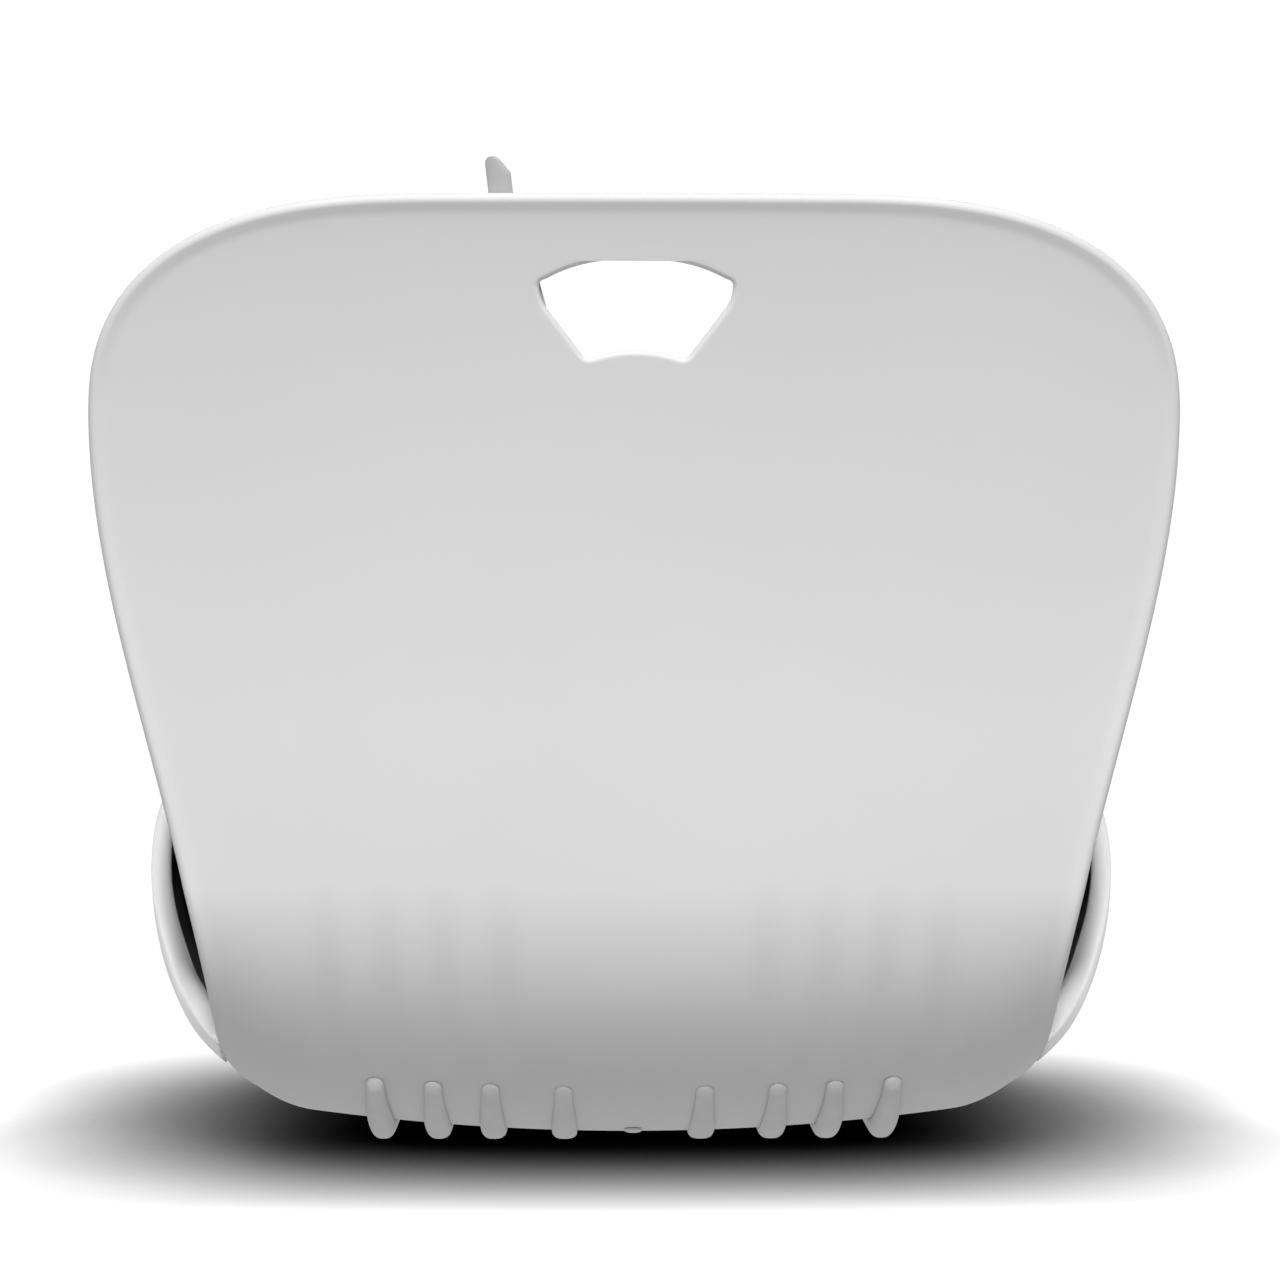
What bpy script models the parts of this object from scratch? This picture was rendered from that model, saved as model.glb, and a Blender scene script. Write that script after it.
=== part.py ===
"""Sit-up bedpan: a moulded back on a hip-shaped base, with a lift-out bowl under a seat opening.

Metres, +Z up. The back of the object faces -Y and the sitter faces +Y. Z = 0 is the floor.
Run with: blender --background --python part.py
"""

import math

import bmesh
import bpy
import numpy as np
from mathutils import Matrix, Vector

MM = 0.001

# ---- Driving dimensions, in millimetres -------------------------------------------------------
BACK_TOP_Z = 383.6          # top of the back above the floor
BACK_HALF = 215.9           # half the widest width, at the shoulder
SHOULDER_Z = 296.0
TOP_FLAT_HALF = 80.0        # the straight part of the top edge ends here
CORNER_POWER = 2.55
WAIST_HALF = 170.2          # half width where the back turns under
WAIST_Z = 40.0
LEAN_DEG = 17.0             # lean of the back at its top edge
LEAN_START_Z = 176.0
BEND_R = 110.0              # round turn from the back to the belly
BELLY_Z = 3.5               # clearance under the belly's centre line
BELLY_END_Y = 292.0
BELLY_END_HALF = 122.0
CROWN = 14.0                # how far the back's side edges wrap towards the sitter
DISH = 12.0                 # how far the belly rises at DISH_X
DISH_X = 130.0
WALL = 3.2                  # white mouldings
RIM_FLARE = 2.9             # how far the back's rim stands out
RIM_WIDTH = 9.5
WING_FLARE = 1.2
WING_RIM_WIDTH = 13.0
EDGE_ROUND = 1.3

SLOT_CORNERS = ((38.3, 351.3, 3.0), (36.8, 343.0, 3.5), (19.9, 321.4, 1.8))   # x, z and rounding
SLOT_TOP_BOW = 7.6          # how far the hand slot's top edge bows up
SLOT_BOTTOM_BOW = 3.2

HULL_CENTRE_Y = 205.0       # the base's sections all run from here to the rim
HULL_FLAT = 0.62            # share of each section that is floor
LINER_GAP = 1.1
LINER_WALL = 2.2
DECK_Z = 80.0               # top of the seat
DECK_THICK = 3.6
OPENING = (75.0, 106.0)     # half axes of the seat's opening
OPENING_Y = 186.0
SQUIRCLE = 2.5

RUNNER_X = (28.7, 58.5, 81.8, 105.4)
RUNNER_WIDTH = 10.6
RUNNER_FLAT = 5.6           # width of the flat that touches the floor
RUNNER_END_Z = 31.0         # where the runners begin on the bend
RUNNER_FRONT_Y = 262.0
GAP = 0.35

TAB_WIDTH = 9.6
TAB_LENGTH = 70.0
TAB_THICK = 1.4
TAB_SLANT_DEG = 14.4
TAB_STUD = (-45.6, 365.5)   # x and z of the stud that it swings on

# Half of the base's rim from the rear centre to the front centre: x, y, z
WING_RIM = (
    (0, 99, 8.2), (45, 98, 9.6), (90, 94, 14.5), (125, 88, 21), (150, 79, 28), (168, 72.5, 34.5),
    (177, 73, 42), (185, 76, 54), (192, 81, 70), (198, 88, 86), (202.5, 98, 102), (205.3, 110, 118),
    (206, 126, 134), (205.5, 145, 144), (206, 170, 147.5), (207, 200, 143.5), (206, 238, 131),
    (201, 275, 114), (188, 311, 101), (163, 338, 94), (122, 352, 91), (62, 356.5, 90), (0, 357, 90),
)
# The same for the dark liner
LINER_RIM = (
    (0, 5.6, 150), (45, 6.6, 150), (90, 9.4, 150), (128, 14.6, 150), (158, 25, 149.5), (176, 44, 149),
    (187, 72, 148), (193.5, 102, 147), (197.6, 132, 144.5), (198.8, 165, 140), (199.6, 200, 136.5),
    (198.4, 237, 124.5), (193.4, 271.5, 107.5), (180.8, 305, 95), (157, 330.7, 88.5), (118, 344.8, 86),
    (60, 349.3, 85), (0, 349.8, 85),
)

COLOURS = {
    "white": ((0.80, 0.80, 0.79, 1), 0.38),
    "seat": ((0.56, 0.57, 0.58, 1), 0.42),
    "charcoal": ((0.030, 0.031, 0.033, 1), 0.45),
    "rubber": ((0.62, 0.62, 0.61, 1), 0.62),
    "bowl": ((0.66, 0.68, 0.69, 1), 0.35),
    "steel": ((0.55, 0.56, 0.57, 1), 0.28),
    "clear": ((0.62, 0.63, 0.63, 1), 0.30),
}


# ---- Scene ------------------------------------------------------------------------------------
def clear_scene():
    for obj in list(bpy.data.objects):
        bpy.data.objects.remove(obj, do_unlink=True)


clear_scene()
PARTS = bpy.data.collections.new("sit_up_bedpan")
bpy.context.scene.collection.children.link(PARTS)
CUTTERS = bpy.data.collections.new("cutters")
bpy.context.scene.collection.children.link(CUTTERS)
CUTTERS.hide_render = True


def material(name, kind):
    colour, roughness = COLOURS[kind]
    mat = bpy.data.materials.new(name + "_material")
    mat.use_nodes = True
    shader = mat.node_tree.nodes["Principled BSDF"]
    shader.inputs["Base Color"].default_value = colour
    shader.inputs["Roughness"].default_value = roughness
    shader.inputs["Metallic"].default_value = 1.0 if kind == "steel" else 0.0
    mat.diffuse_color = colour
    return mat


def new_object(name, verts, faces, kind=None, origin=(0, 0, 0)):
    """An object from points in world millimetres. Its origin is put at the point given."""
    base = np.asarray(origin, float)
    mesh = bpy.data.meshes.new(name)
    mesh.from_pydata([tuple((np.asarray(v, float) - base) * MM) for v in verts], [], faces)
    mesh.update()
    obj = bpy.data.objects.new(name, mesh)
    obj.location = tuple(base * MM)
    if kind:
        PARTS.objects.link(obj)
        mesh.materials.append(material(name, kind))
    else:
        CUTTERS.objects.link(obj)
        obj.hide_render = True
        obj.display_type = "WIRE"
    bm = bmesh.new()
    bm.from_mesh(mesh)
    bmesh.ops.recalc_face_normals(bm, faces=bm.faces)
    bm.to_mesh(mesh)
    bm.free()
    return obj


def smooth(obj, degrees=40):
    for poly in obj.data.polygons:
        poly.use_smooth = True
    obj.data.set_sharp_from_angle(angle=math.radians(degrees))


def add(obj, kind, **settings):
    modifier = obj.modifiers.new(kind.title(), kind)
    for key, value in settings.items():
        setattr(modifier, key, value)
    return modifier


def cut(obj, cutter, operation="DIFFERENCE"):
    return add(obj, "BOOLEAN", operation=operation, object=cutter, solver="EXACT")


def bevel(obj, width=EDGE_ROUND, segments=2, degrees=50):
    return add(
        obj, "BEVEL", width=width * MM, segments=segments, limit_method="ANGLE",
        angle_limit=math.radians(degrees), use_clamp_overlap=True,
    )


# ---- The curve that the back and belly follow -------------------------------------------------
LEAN = math.radians(LEAN_DEG)
LEAN_R = (BACK_TOP_Z - LEAN_START_Z) / math.sin(LEAN)
BEND_Z = BELLY_Z + BEND_R
S_LEAN = LEAN_R * LEAN
S_BEND = S_LEAN + LEAN_START_Z - BEND_Z
S_BELLY = S_BEND + BEND_R * math.pi / 2
S_END = S_BELLY + BELLY_END_Y - BEND_R


def along(s):
    """Y, Z and the outward direction of the centre line, s millimetres down from the top edge."""
    if s < S_LEAN:
        a = (S_LEAN - s) / LEAN_R
        return LEAN_R * (math.cos(a) - 1), LEAN_START_Z + LEAN_R * math.sin(a), -math.cos(a), -math.sin(a)
    if s < S_BEND:
        return 0.0, LEAN_START_Z - (s - S_LEAN), -1.0, 0.0
    if s < S_BELLY:
        a = (s - S_BEND) / BEND_R
        return BEND_R * (1 - math.cos(a)), BEND_Z - BEND_R * math.sin(a), -math.cos(a), -math.sin(a)
    return BEND_R + s - S_BELLY, BELLY_Z, 0.0, -1.0


def s_of_z(z):
    """Where the centre line passes height z, above the belly."""
    if z >= LEAN_START_Z:
        return S_LEAN - LEAN_R * math.asin(min(1.0, (z - LEAN_START_Z) / LEAN_R))
    if z >= BEND_Z:
        return S_LEAN + LEAN_START_Z - z
    return S_BEND + BEND_R * math.asin(min(1.0, (BEND_Z - z) / BEND_R))


def ease(t):
    t = min(1.0, max(0.0, t))
    return t * t * (3 - 2 * t)


def dish(x):
    return DISH * (x / DISH_X) ** 2


def wrap(x, s):
    """How far the sheet lies on the sitter's side of the centre line."""
    k = ease((s - S_BEND) / (S_BELLY - S_BEND))
    return (1 - k) * CROWN * (x / BACK_HALF) ** 2 + k * dish(x)


def on_shell(x, s, out=0.0):
    """The back's outer face at x and s, moved out by a distance along the centre line's normal."""
    y, z, ny, nz = along(s)
    d = out - wrap(x, s)
    return np.array([x, y + ny * d, z + nz * d])


def inner_height(x, y):
    """Height of the back shell's inner face, where it is below the sitter."""
    x = abs(x)
    if y >= BEND_R:
        return BELLY_Z + WALL + dish(x)
    r = BEND_R - WALL - 0.85 * dish(x)
    return BEND_Z - math.sqrt(max(r * r - (BEND_R - y) ** 2, 1.0)) + 0.15 * dish(x)


def side_half(s):
    """Half width of the back shell at s."""
    if s < S_BELLY:
        z = along(s)[1]
        if z > WAIST_Z:
            return WAIST_HALF + (BACK_HALF - WAIST_HALF) * ease((z - WAIST_Z) / (SHOULDER_Z - WAIST_Z))
    s_waist = s_of_z(WAIST_Z)
    k = (s - s_waist) / (S_END - s_waist)
    return WAIST_HALF + (BELLY_END_HALF - WAIST_HALF) * ease(k) ** 1.15


def corner_z(x):
    t = max(0.0, (abs(x) - TOP_FLAT_HALF) / (BACK_HALF - TOP_FLAT_HALF))
    rise = (1 - min(1.0, t) ** CORNER_POWER) ** (1 / CORNER_POWER)
    return SHOULDER_Z + (BACK_TOP_Z - SHOULDER_Z) * rise


def crown_rise(x, z):
    """How much the crown lifts a point of the leaning back."""
    return CROWN * (x / BACK_HALF) ** 2 * max(0.0, z - LEAN_START_Z) / LEAN_R


def corner_half(z):
    t = min(1.0, max(0.0, (z - SHOULDER_Z) / (BACK_TOP_Z - SHOULDER_Z)))
    return TOP_FLAT_HALF + (BACK_HALF - TOP_FLAT_HALF) * (1 - t**CORNER_POWER) ** (1 / CORNER_POWER)


SPLIT_Z = 361.0             # the top edge hands over to the side edge here
SPLIT_X = corner_half(SPLIT_Z)
END_ROUND = 34.0


def top_point(u):
    x = u * SPLIT_X
    z = corner_z(x)
    return x, s_of_z(z - crown_rise(x, z))


def right_point(v):
    first = s_of_z(SPLIT_Z - crown_rise(SPLIT_X, SPLIT_Z))
    s = first + v * (S_END - END_ROUND - first)
    z = along(s)[1]
    if z <= LEAN_START_Z:
        return side_half(s), s
    z += crown_rise(corner_half(z), z)
    return (corner_half(z) if z > SHOULDER_Z else side_half(s_of_z(z))), s


def bottom_point(u):
    x0 = right_point(1.0)[0]
    x = u * x0
    return x, S_END - END_ROUND + END_ROUND * (1 - abs(u) ** 3.2) ** (1 / 3.2)


def patch(u, v):
    """A point of the flat pattern, from its four edges."""
    top, bottom, side = top_point(u), bottom_point(u), right_point(v)
    k = (u + 1) / 2
    left = (-side[0], side[1])
    c00 = (-right_point(0)[0], right_point(0)[1])
    c10 = right_point(0)
    c01 = (-right_point(1)[0], right_point(1)[1])
    c11 = right_point(1)
    out = []
    for i in (0, 1):
        edges = (1 - v) * top[i] + v * bottom[i] + (1 - k) * left[i] + k * side[i]
        corners = (1 - v) * ((1 - k) * c00[i] + k * c10[i]) + v * ((1 - k) * c01[i] + k * c11[i])
        out.append(edges - corners)
    return out


def crowded(count, first, length):
    """Stops from 0 to 1 that lie closer together near both ends. The first step is given."""
    lead = []
    here, step = 0.0, first
    even = length / count
    while step < even and here < length / 4:
        lead.append(here)
        here += step
        step *= 1.55
    middle = max(4, round((length - 2 * here) / even))
    inner = [here + (length - 2 * here) * i / middle for i in range(middle + 1)]
    return [p / length for p in lead + inner + [length - q for q in reversed(lead)]]


def outline_points():
    us = np.linspace(-1, 1, 161)
    vs = np.linspace(0, 1, 301)
    loop = [top_point(u) for u in us] + [right_point(v) for v in vs]
    loop += [bottom_point(u) for u in us] + [(-right_point(v)[0], right_point(v)[1]) for v in vs]
    return np.array(loop)


def flare(distance, height, width):
    return height * max(0.0, 1 - distance / width) ** 2


def relax_corners(pattern, reach=45.0, passes=14):
    """Draws the inner points near the two top corners inward, where the edges meet in line."""
    corners = (pattern[0, 0].copy(), pattern[0, -1].copy())
    gap = np.min([np.linalg.norm(pattern - corner, axis=2) for corner in corners], axis=0)
    weight = (0.5 * np.clip(1 - gap / reach, 0, 1))[1:-1, 1:-1, None]
    for _ in range(passes):
        around = pattern[:-2, 1:-1] + pattern[2:, 1:-1] + pattern[1:-1, :-2] + pattern[1:-1, 2:]
        pattern[1:-1, 1:-1] += weight * (around / 4 - pattern[1:-1, 1:-1])
    return pattern


def build_back_shell():
    columns = [2 * k - 1 for k in crowded(20, 4.0, 2 * BACK_HALF)]
    rows = crowded(28, 4.0, S_END)
    edge = outline_points()
    pattern = relax_corners(np.array([[patch(u, v) for u in columns] for v in rows]))
    verts, faces = [], []
    for row in pattern:
        for x, s in row:
            distance = float(np.sqrt(((edge - (x, s)) ** 2).sum(1)).min())
            fade = 1 - ease((s - S_BEND) / (S_BELLY - S_BEND))
            verts.append(on_shell(x, s, flare(distance, RIM_FLARE, RIM_WIDTH) * fade))
    n = len(columns)
    for j in range(len(rows) - 1):
        for i in range(n - 1):
            a = j * n + i
            faces.append((a, a + 1, a + n + 1, a + n))
    obj = new_object("back_shell", verts, faces, "white")
    point_out(obj, Vector((0, 170, 150)) * MM)
    add(obj, "SOLIDIFY", thickness=WALL * MM, offset=-1.0)
    cut(obj, slot_cutter())
    cut(obj, tube_cutter("stud_cutter", stud_axis(), 2.1, -1.2, 4.0))
    cut(obj, tube_cutter("drain_cutter", drain_axis(), 2.55, -3.0, 8.0))
    for index, axis in enumerate(rivet_axes()):
        cut(obj, tube_cutter(f"rivet_cutter_{index}", axis, 2.9, -4.0, 5.2))
    bevel(obj)
    smooth(obj)
    return obj


def point_out(obj, centre):
    """Turns the sheet's faces away from a point inside the object."""
    mesh = obj.data
    total = sum((Vector(p.center) + obj.location - centre).dot(p.normal) * p.area for p in mesh.polygons)
    if total < 0:
        mesh.flip_normals()


# ---- Cutters ----------------------------------------------------------------------------------
def slot_outline(steps=12):
    """The hand slot in the back's own plane: bowed top, short upright sides, slanted lower sides."""
    first = SLOT_CORNERS[0]
    corners = [(-first[0], *first[1:]), *SLOT_CORNERS]
    corners += [(-x, z, r) for x, z, r in reversed(SLOT_CORNERS[1:])]
    bows = {0: SLOT_TOP_BOW, 3: SLOT_BOTTOM_BOW}
    points = []
    for i, (x, z, r) in enumerate(corners):
        here, following = np.array([x, z]), corners[(i + 1) % len(corners)]
        before, after = np.array(corners[i - 1][:2]), np.array(following[:2])
        a = here + (before - here) / np.linalg.norm(before - here) * r
        b = here + (after - here) / np.linalg.norm(after - here) * r
        points += [(1 - t) ** 2 * a + 2 * t * (1 - t) * here + t * t * b for t in np.linspace(0, 1, 4)]
        if i in bows:
            stop = after + (here - after) / np.linalg.norm(here - after) * following[2]
            for t in np.linspace(0, 1, steps)[1:-1]:
                points.append(b + (stop - b) * t + np.array([0, bows[i] * (1 - (2 * t - 1) ** 2)]))
    return points


def slot_cutter():
    points = slot_outline()
    n = len(points)
    verts = [(p[0], -60.0, p[1]) for p in points] + [(p[0], 30.0, p[1]) for p in points]
    faces = [tuple(range(n)), tuple(range(2 * n - 1, n - 1, -1))]
    faces += [(i, (i + 1) % n, n + (i + 1) % n, n + i) for i in range(n)]
    return new_object("slot_cutter", verts, faces)


def frame_on(origin, direction):
    """A matrix whose local Z is the direction given, at an origin in millimetres."""
    turn = Vector(direction).to_track_quat("Z", "Y").to_matrix().to_4x4()
    return Matrix.Translation(Vector(origin)) @ turn


def tube_cutter(name, axis, radius, start, end, sides=16):
    origin, direction = axis
    placed = frame_on(origin, direction)
    verts, faces = [], []
    for h in (start, end):
        for i in range(sides):
            a = 2 * math.pi * i / sides
            verts.append(placed @ Vector((radius * math.cos(a), radius * math.sin(a), h)))
    faces = [tuple(range(sides)), tuple(range(2 * sides - 1, sides - 1, -1))]
    faces += [(i, (i + 1) % sides, sides + (i + 1) % sides, sides + i) for i in range(sides)]
    return new_object(name, verts, faces)


def shell_axis(x, s, inward=True):
    """A point on the shell's outer face, and the inward direction there."""
    step = 0.5
    du = on_shell(x + step, s) - on_shell(x - step, s)
    dv = on_shell(x, s + step) - on_shell(x, s - step)
    normal = np.cross(du, dv)
    normal /= np.linalg.norm(normal)
    ny, nz = along(s)[2:]
    if normal @ np.array([0, ny, nz]) > 0:
        normal = -normal
    return on_shell(x, s), normal


def stud_axis():
    point, inward = shell_axis(TAB_STUD[0], s_of_z(TAB_STUD[1]))
    return point + inward * WALL, inward


def drain_axis():
    return shell_axis(0.0, s_of_z(7.7))


def rivet_axes():
    found = []
    for y in (160.0, 250.0):
        for x in (-42.3, 42.3):
            found.append((np.array([x, y, BELLY_Z + dish(x)]), np.array([0.0, 0.0, 1.0])))
    return found


# ---- Base shell and liner ---------------------------------------------------------------------
def closed_rim(half, count):
    """Evenly spaced points round the rim, mirrored in X, starting at the rear centre."""
    right = np.array(half, float)
    left = right[1:-1][::-1] * (-1, 1, 1)
    keys = np.vstack([right, left])
    n = len(keys)
    fine = []
    for i in range(n):
        p0, p1, p2, p3 = keys[i - 1], keys[i], keys[(i + 1) % n], keys[(i + 2) % n]
        for t in np.linspace(0, 1, 12, endpoint=False):
            fine.append(
                0.5 * (2 * p1 + (p2 - p0) * t + (2 * p0 - 5 * p1 + 4 * p2 - p3) * t**2
                       + (3 * p1 - p0 - 3 * p2 + p3) * t**3)
            )
    fine = np.array(fine + [fine[0]])
    length = np.concatenate([[0], np.cumsum(np.linalg.norm(np.diff(fine, axis=0), axis=1))])
    stops = np.linspace(0, length[-1], count, endpoint=False)
    return np.array([[np.interp(s, length, fine[:, k]) for k in range(3)] for s in stops])


def hull_section(rim, base, t, flat, turn):
    """A point on the section from the hull's centre to one rim point. t runs from 0 to 1."""
    centre = np.array([0.0, HULL_CENTRE_Y])
    reach = rim[:2] - centre
    if t <= flat:
        x, y = centre + reach * t
        return np.array([x, y, base + dish(x)])
    a = (t - flat) / (1 - flat) * turn
    p = flat + (1 - flat) * math.sin(a) / math.sin(turn)
    x, y = centre + reach * p
    edge_x = (centre + reach * flat)[0]
    floor = base + dish(edge_x)
    z = floor + (rim[2] - floor) * (1 - math.cos(a)) / (1 - math.cos(turn))
    return np.array([x, y, z])


def hull_turn(rim):
    """How far round its quarter turn a section goes: little at the low rear edge, all of it elsewhere."""
    k = ease((rim[2] - 20.0) / 60.0)
    return math.radians(35 + 55 * k)


def build_hull(name, half, base, kind, count, stops, wall, flare_size, clear, always_full):
    """An open sheet from the rim in to the centre, then Solidify and a rounded rim."""
    rims = closed_rim(half, count)
    verts, faces = [], []
    for t in stops:
        for rim in rims:
            turn = math.radians(90) if always_full else hull_turn(rim)
            point = hull_section(rim, base, t, HULL_FLAT, turn)
            if point[1] > 45 and abs(point[0]) < 171:
                point[2] = max(point[2], inner_height(*point[:2]) + clear)
            away = point[:2] - np.array([0.0, HULL_CENTRE_Y])
            away /= max(np.linalg.norm(away), 1e-6)
            if rim[2] > 36:
                out = flare(np.linalg.norm(rim - point), flare_size, WING_RIM_WIDTH)
                out *= ease((rim[2] - 36.0) / 14.0)
                point[:2] += away * out
            verts.append(point)
    for j in range(len(stops) - 1):
        for i in range(count):
            a, b = j * count + i, j * count + (i + 1) % count
            faces.append((a, b, b + count, a + count))
    verts.append(hull_section(rims[0], base, 0.0, HULL_FLAT, math.radians(90)))
    last = len(verts) - 1
    ring = (len(stops) - 1) * count
    faces += [(ring + i, ring + (i + 1) % count, last) for i in range(count)]
    obj = new_object(name, verts, faces, kind)
    point_out(obj, Vector((0, HULL_CENTRE_Y, 150)) * MM)
    add(obj, "SOLIDIFY", thickness=wall * MM, offset=-1.0, use_even_offset=True)
    return obj


WALL_STOPS = (1.0, 0.98, 0.95, 0.90, 0.84, 0.77, 0.69, 0.62, 0.45, 0.25)


def build_hip_shell():
    base = BELLY_Z + WALL + 0.5
    obj = build_hull("hip_shell", WING_RIM, base, "white", 52, WALL_STOPS, 3.0, WING_FLARE, 0.6, False)
    for index, axis in enumerate(rivet_axes()):
        cut(obj, tube_cutter(f"hip_rivet_cutter_{index}", axis, 2.9, -4.0, 9.5))
    bevel(obj, 1.2)
    smooth(obj)
    return obj


def liner_base():
    return BELLY_Z + WALL + 0.5 + 3.0 + LINER_GAP


def build_liner():
    stops = (1.0, 0.94, 0.87, 0.80, 0.73, 0.67, 0.62, 0.45, 0.25)
    obj = build_hull("pan_liner", LINER_RIM, liner_base(), "charcoal", 44, stops, LINER_WALL, 0.0,
                     0.6 + 3.0 + 0.7, True)
    bevel(obj, 0.8, 1)
    smooth(obj)
    return obj


# ---- Seat, bowl and lid: lofts of rounded loops ------------------------------------------------
def squircle(half_x, half_y, centre_y, count, z, power=SQUIRCLE):
    points = []
    for i in range(count):
        a = 2 * math.pi * i / count
        c, s = math.cos(a), math.sin(a)
        r = (abs(c) ** power + abs(s) ** power) ** (-1 / power)
        points.append(np.array([half_x * c * r, centre_y + half_y * s * r, z]))
    return points


def loft_ring(name, loops, kind, closed, origin=(0, 0, 0)):
    """A skin over a list of loops of equal count. Closed joins the last loop to the first."""
    count = len(loops[0])
    verts = [p for loop in loops for p in loop]
    faces = []
    pairs = list(zip(range(len(loops) - 1), range(1, len(loops))))
    if closed:
        pairs.append((len(loops) - 1, 0))
    for j, k in pairs:
        for i in range(count):
            m = (i + 1) % count
            faces.append((j * count + i, j * count + m, k * count + m, k * count + i))
    if not closed:
        faces.append(tuple(range(count)))
        faces.append(tuple(range(len(verts) - 1, len(verts) - 1 - count, -1)))
    return new_object(name, verts, faces, kind, origin)


def liner_inside(angle, z, gap):
    """Where a ray from the opening's centre meets the liner's inner face at height z, less a gap."""
    rims = closed_rim(LINER_RIM, 360)
    loop = []
    for rim in rims:
        floor = liner_base() + dish(rim[0] * HULL_FLAT)
        cosine = (rim[2] - z) / (rim[2] - floor)
        p = HULL_FLAT + (1 - HULL_FLAT) * math.sqrt(max(0.0, 1 - cosine**2))
        loop.append((rim[0] * p, HULL_CENTRE_Y + (rim[1] - HULL_CENTRE_Y) * p))
    loop = np.array(loop)
    rel = loop - (0.0, OPENING_Y)
    angles = np.arctan2(rel[:, 1], rel[:, 0])
    order = np.argsort(angles)
    radius = np.interp(angle, angles[order], np.linalg.norm(rel, axis=1)[order], period=2 * math.pi)
    return radius - gap


def deck_outline(count, z, gap):
    points = []
    for i in range(count):
        a = 2 * math.pi * i / count
        r = liner_inside(math.atan2(math.sin(a), math.cos(a)), z, gap)
        points.append(np.array([r * math.cos(a), OPENING_Y + r * math.sin(a), z]))
    return points


def build_seat():
    """A flat seat with a rounded outer edge and a turned-down lip round its opening."""
    n = 48
    hx, hy = OPENING
    top, low = DECK_Z, DECK_Z - DECK_THICK
    outer = deck_outline(n, low, LINER_WALL + 4.6)
    inner = squircle(hx, hy, OPENING_Y, n, top)

    def between(k, z):
        return [np.array([*(o[:2] * (1 - k) + i[:2] * k), z]) for o, i in zip(outer, inner)]

    loops = [
        between(0.0, low), between(0.0, low + 2.0), between(0.025, top + 1.2), between(0.09, top + 2.0),
        between(0.2, top + 1.6), between(0.5, top - 0.2), between(0.8, top),
        squircle(hx + 2.5, hy + 2.5, OPENING_Y, n, top),
        squircle(hx, hy, OPENING_Y, n, top - 1.6),
        squircle(hx, hy, OPENING_Y, n, top - 13.0),
        squircle(hx + 3.0, hy + 3.0, OPENING_Y, n, top - 13.0),
        squircle(hx + 3.2, hy + 3.2, OPENING_Y, n, low - 0.2),
        between(0.5, low - 0.4), between(0.09, low),
    ]
    obj = loft_ring("seat_ring", loops, "seat", True)
    smooth(obj)
    return obj


BOWL_RIM_Z = DECK_Z + 0.4
BOWL_FLANGE = 2.4
BOWL_FOOT_Z = 38.6          # the bowl hangs clear of the liner's floor
LUG_X = 87.5


def build_bowl():
    n = 36
    hx, hy = OPENING
    z, foot = BOWL_RIM_Z, BOWL_FOOT_Z
    loops = [
        squircle(50, 79, OPENING_Y, n, foot), squircle(58, 88, OPENING_Y, n, foot + 2.3),
        squircle(65, 95.5, OPENING_Y, n, foot + 9.5), squircle(hx - 3.5, hy - 3.5, OPENING_Y, n, 65.0),
        squircle(hx - 2.5, hy - 2.5, OPENING_Y, n, z - 1.0), squircle(hx + 1.0, hy + 1.0, OPENING_Y, n, z),
        squircle(hx + 8.2, hy + 8.2, OPENING_Y, n, z), squircle(hx + 9.0, hy + 9.0, OPENING_Y, n, z + 0.8),
        squircle(hx + 9.0, hy + 9.0, OPENING_Y, n, z + 1.6),
        squircle(hx + 8.2, hy + 8.2, OPENING_Y, n, z + BOWL_FLANGE),
        squircle(hx - 3.0, hy - 3.0, OPENING_Y, n, z + BOWL_FLANGE),
        squircle(hx - 5.4, hy - 5.4, OPENING_Y, n, z + 0.4), squircle(hx - 6.2, hy - 6.2, OPENING_Y, n, 65.0),
        squircle(62.4, 93, OPENING_Y, n, foot + 11.0), squircle(56, 86, OPENING_Y, n, foot + 4.9),
        squircle(49, 78, OPENING_Y, n, foot + 2.8),
    ]
    obj = loft_ring("bowl", loops, "bowl", False)
    for side in (-1, 1):
        lug = box_cutter(f"lug_{side}", (side * (LUG_X - 6.5), OPENING_Y - 6, z + 0.5),
                         (side * (LUG_X - 2.5), OPENING_Y + 6, z + 12.5))
        cut(obj, lug, "UNION")
    for side in (-1, 1):
        axis = (np.array([side * (LUG_X - 12), OPENING_Y, z + 7.4]), np.array([side * 1.0, 0.0, 0.0]))
        cut(obj, tube_cutter(f"lug_hole_{side}", axis, 2.9, 1.0, 14.0))
    smooth(obj)
    return obj


def box_cutter(name, low, high):
    x0, x1 = sorted((low[0], high[0]))
    y0, y1 = sorted((low[1], high[1]))
    z0, z1 = sorted((low[2], high[2]))
    verts = [(x, y, z) for z in (z0, z1) for x, y in ((x0, y0), (x1, y0), (x1, y1), (x0, y1))]
    faces = [(3, 2, 1, 0), (4, 5, 6, 7), (0, 1, 5, 4), (1, 2, 6, 5), (2, 3, 7, 6), (3, 0, 4, 7)]
    return new_object(name, verts, faces)


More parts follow.
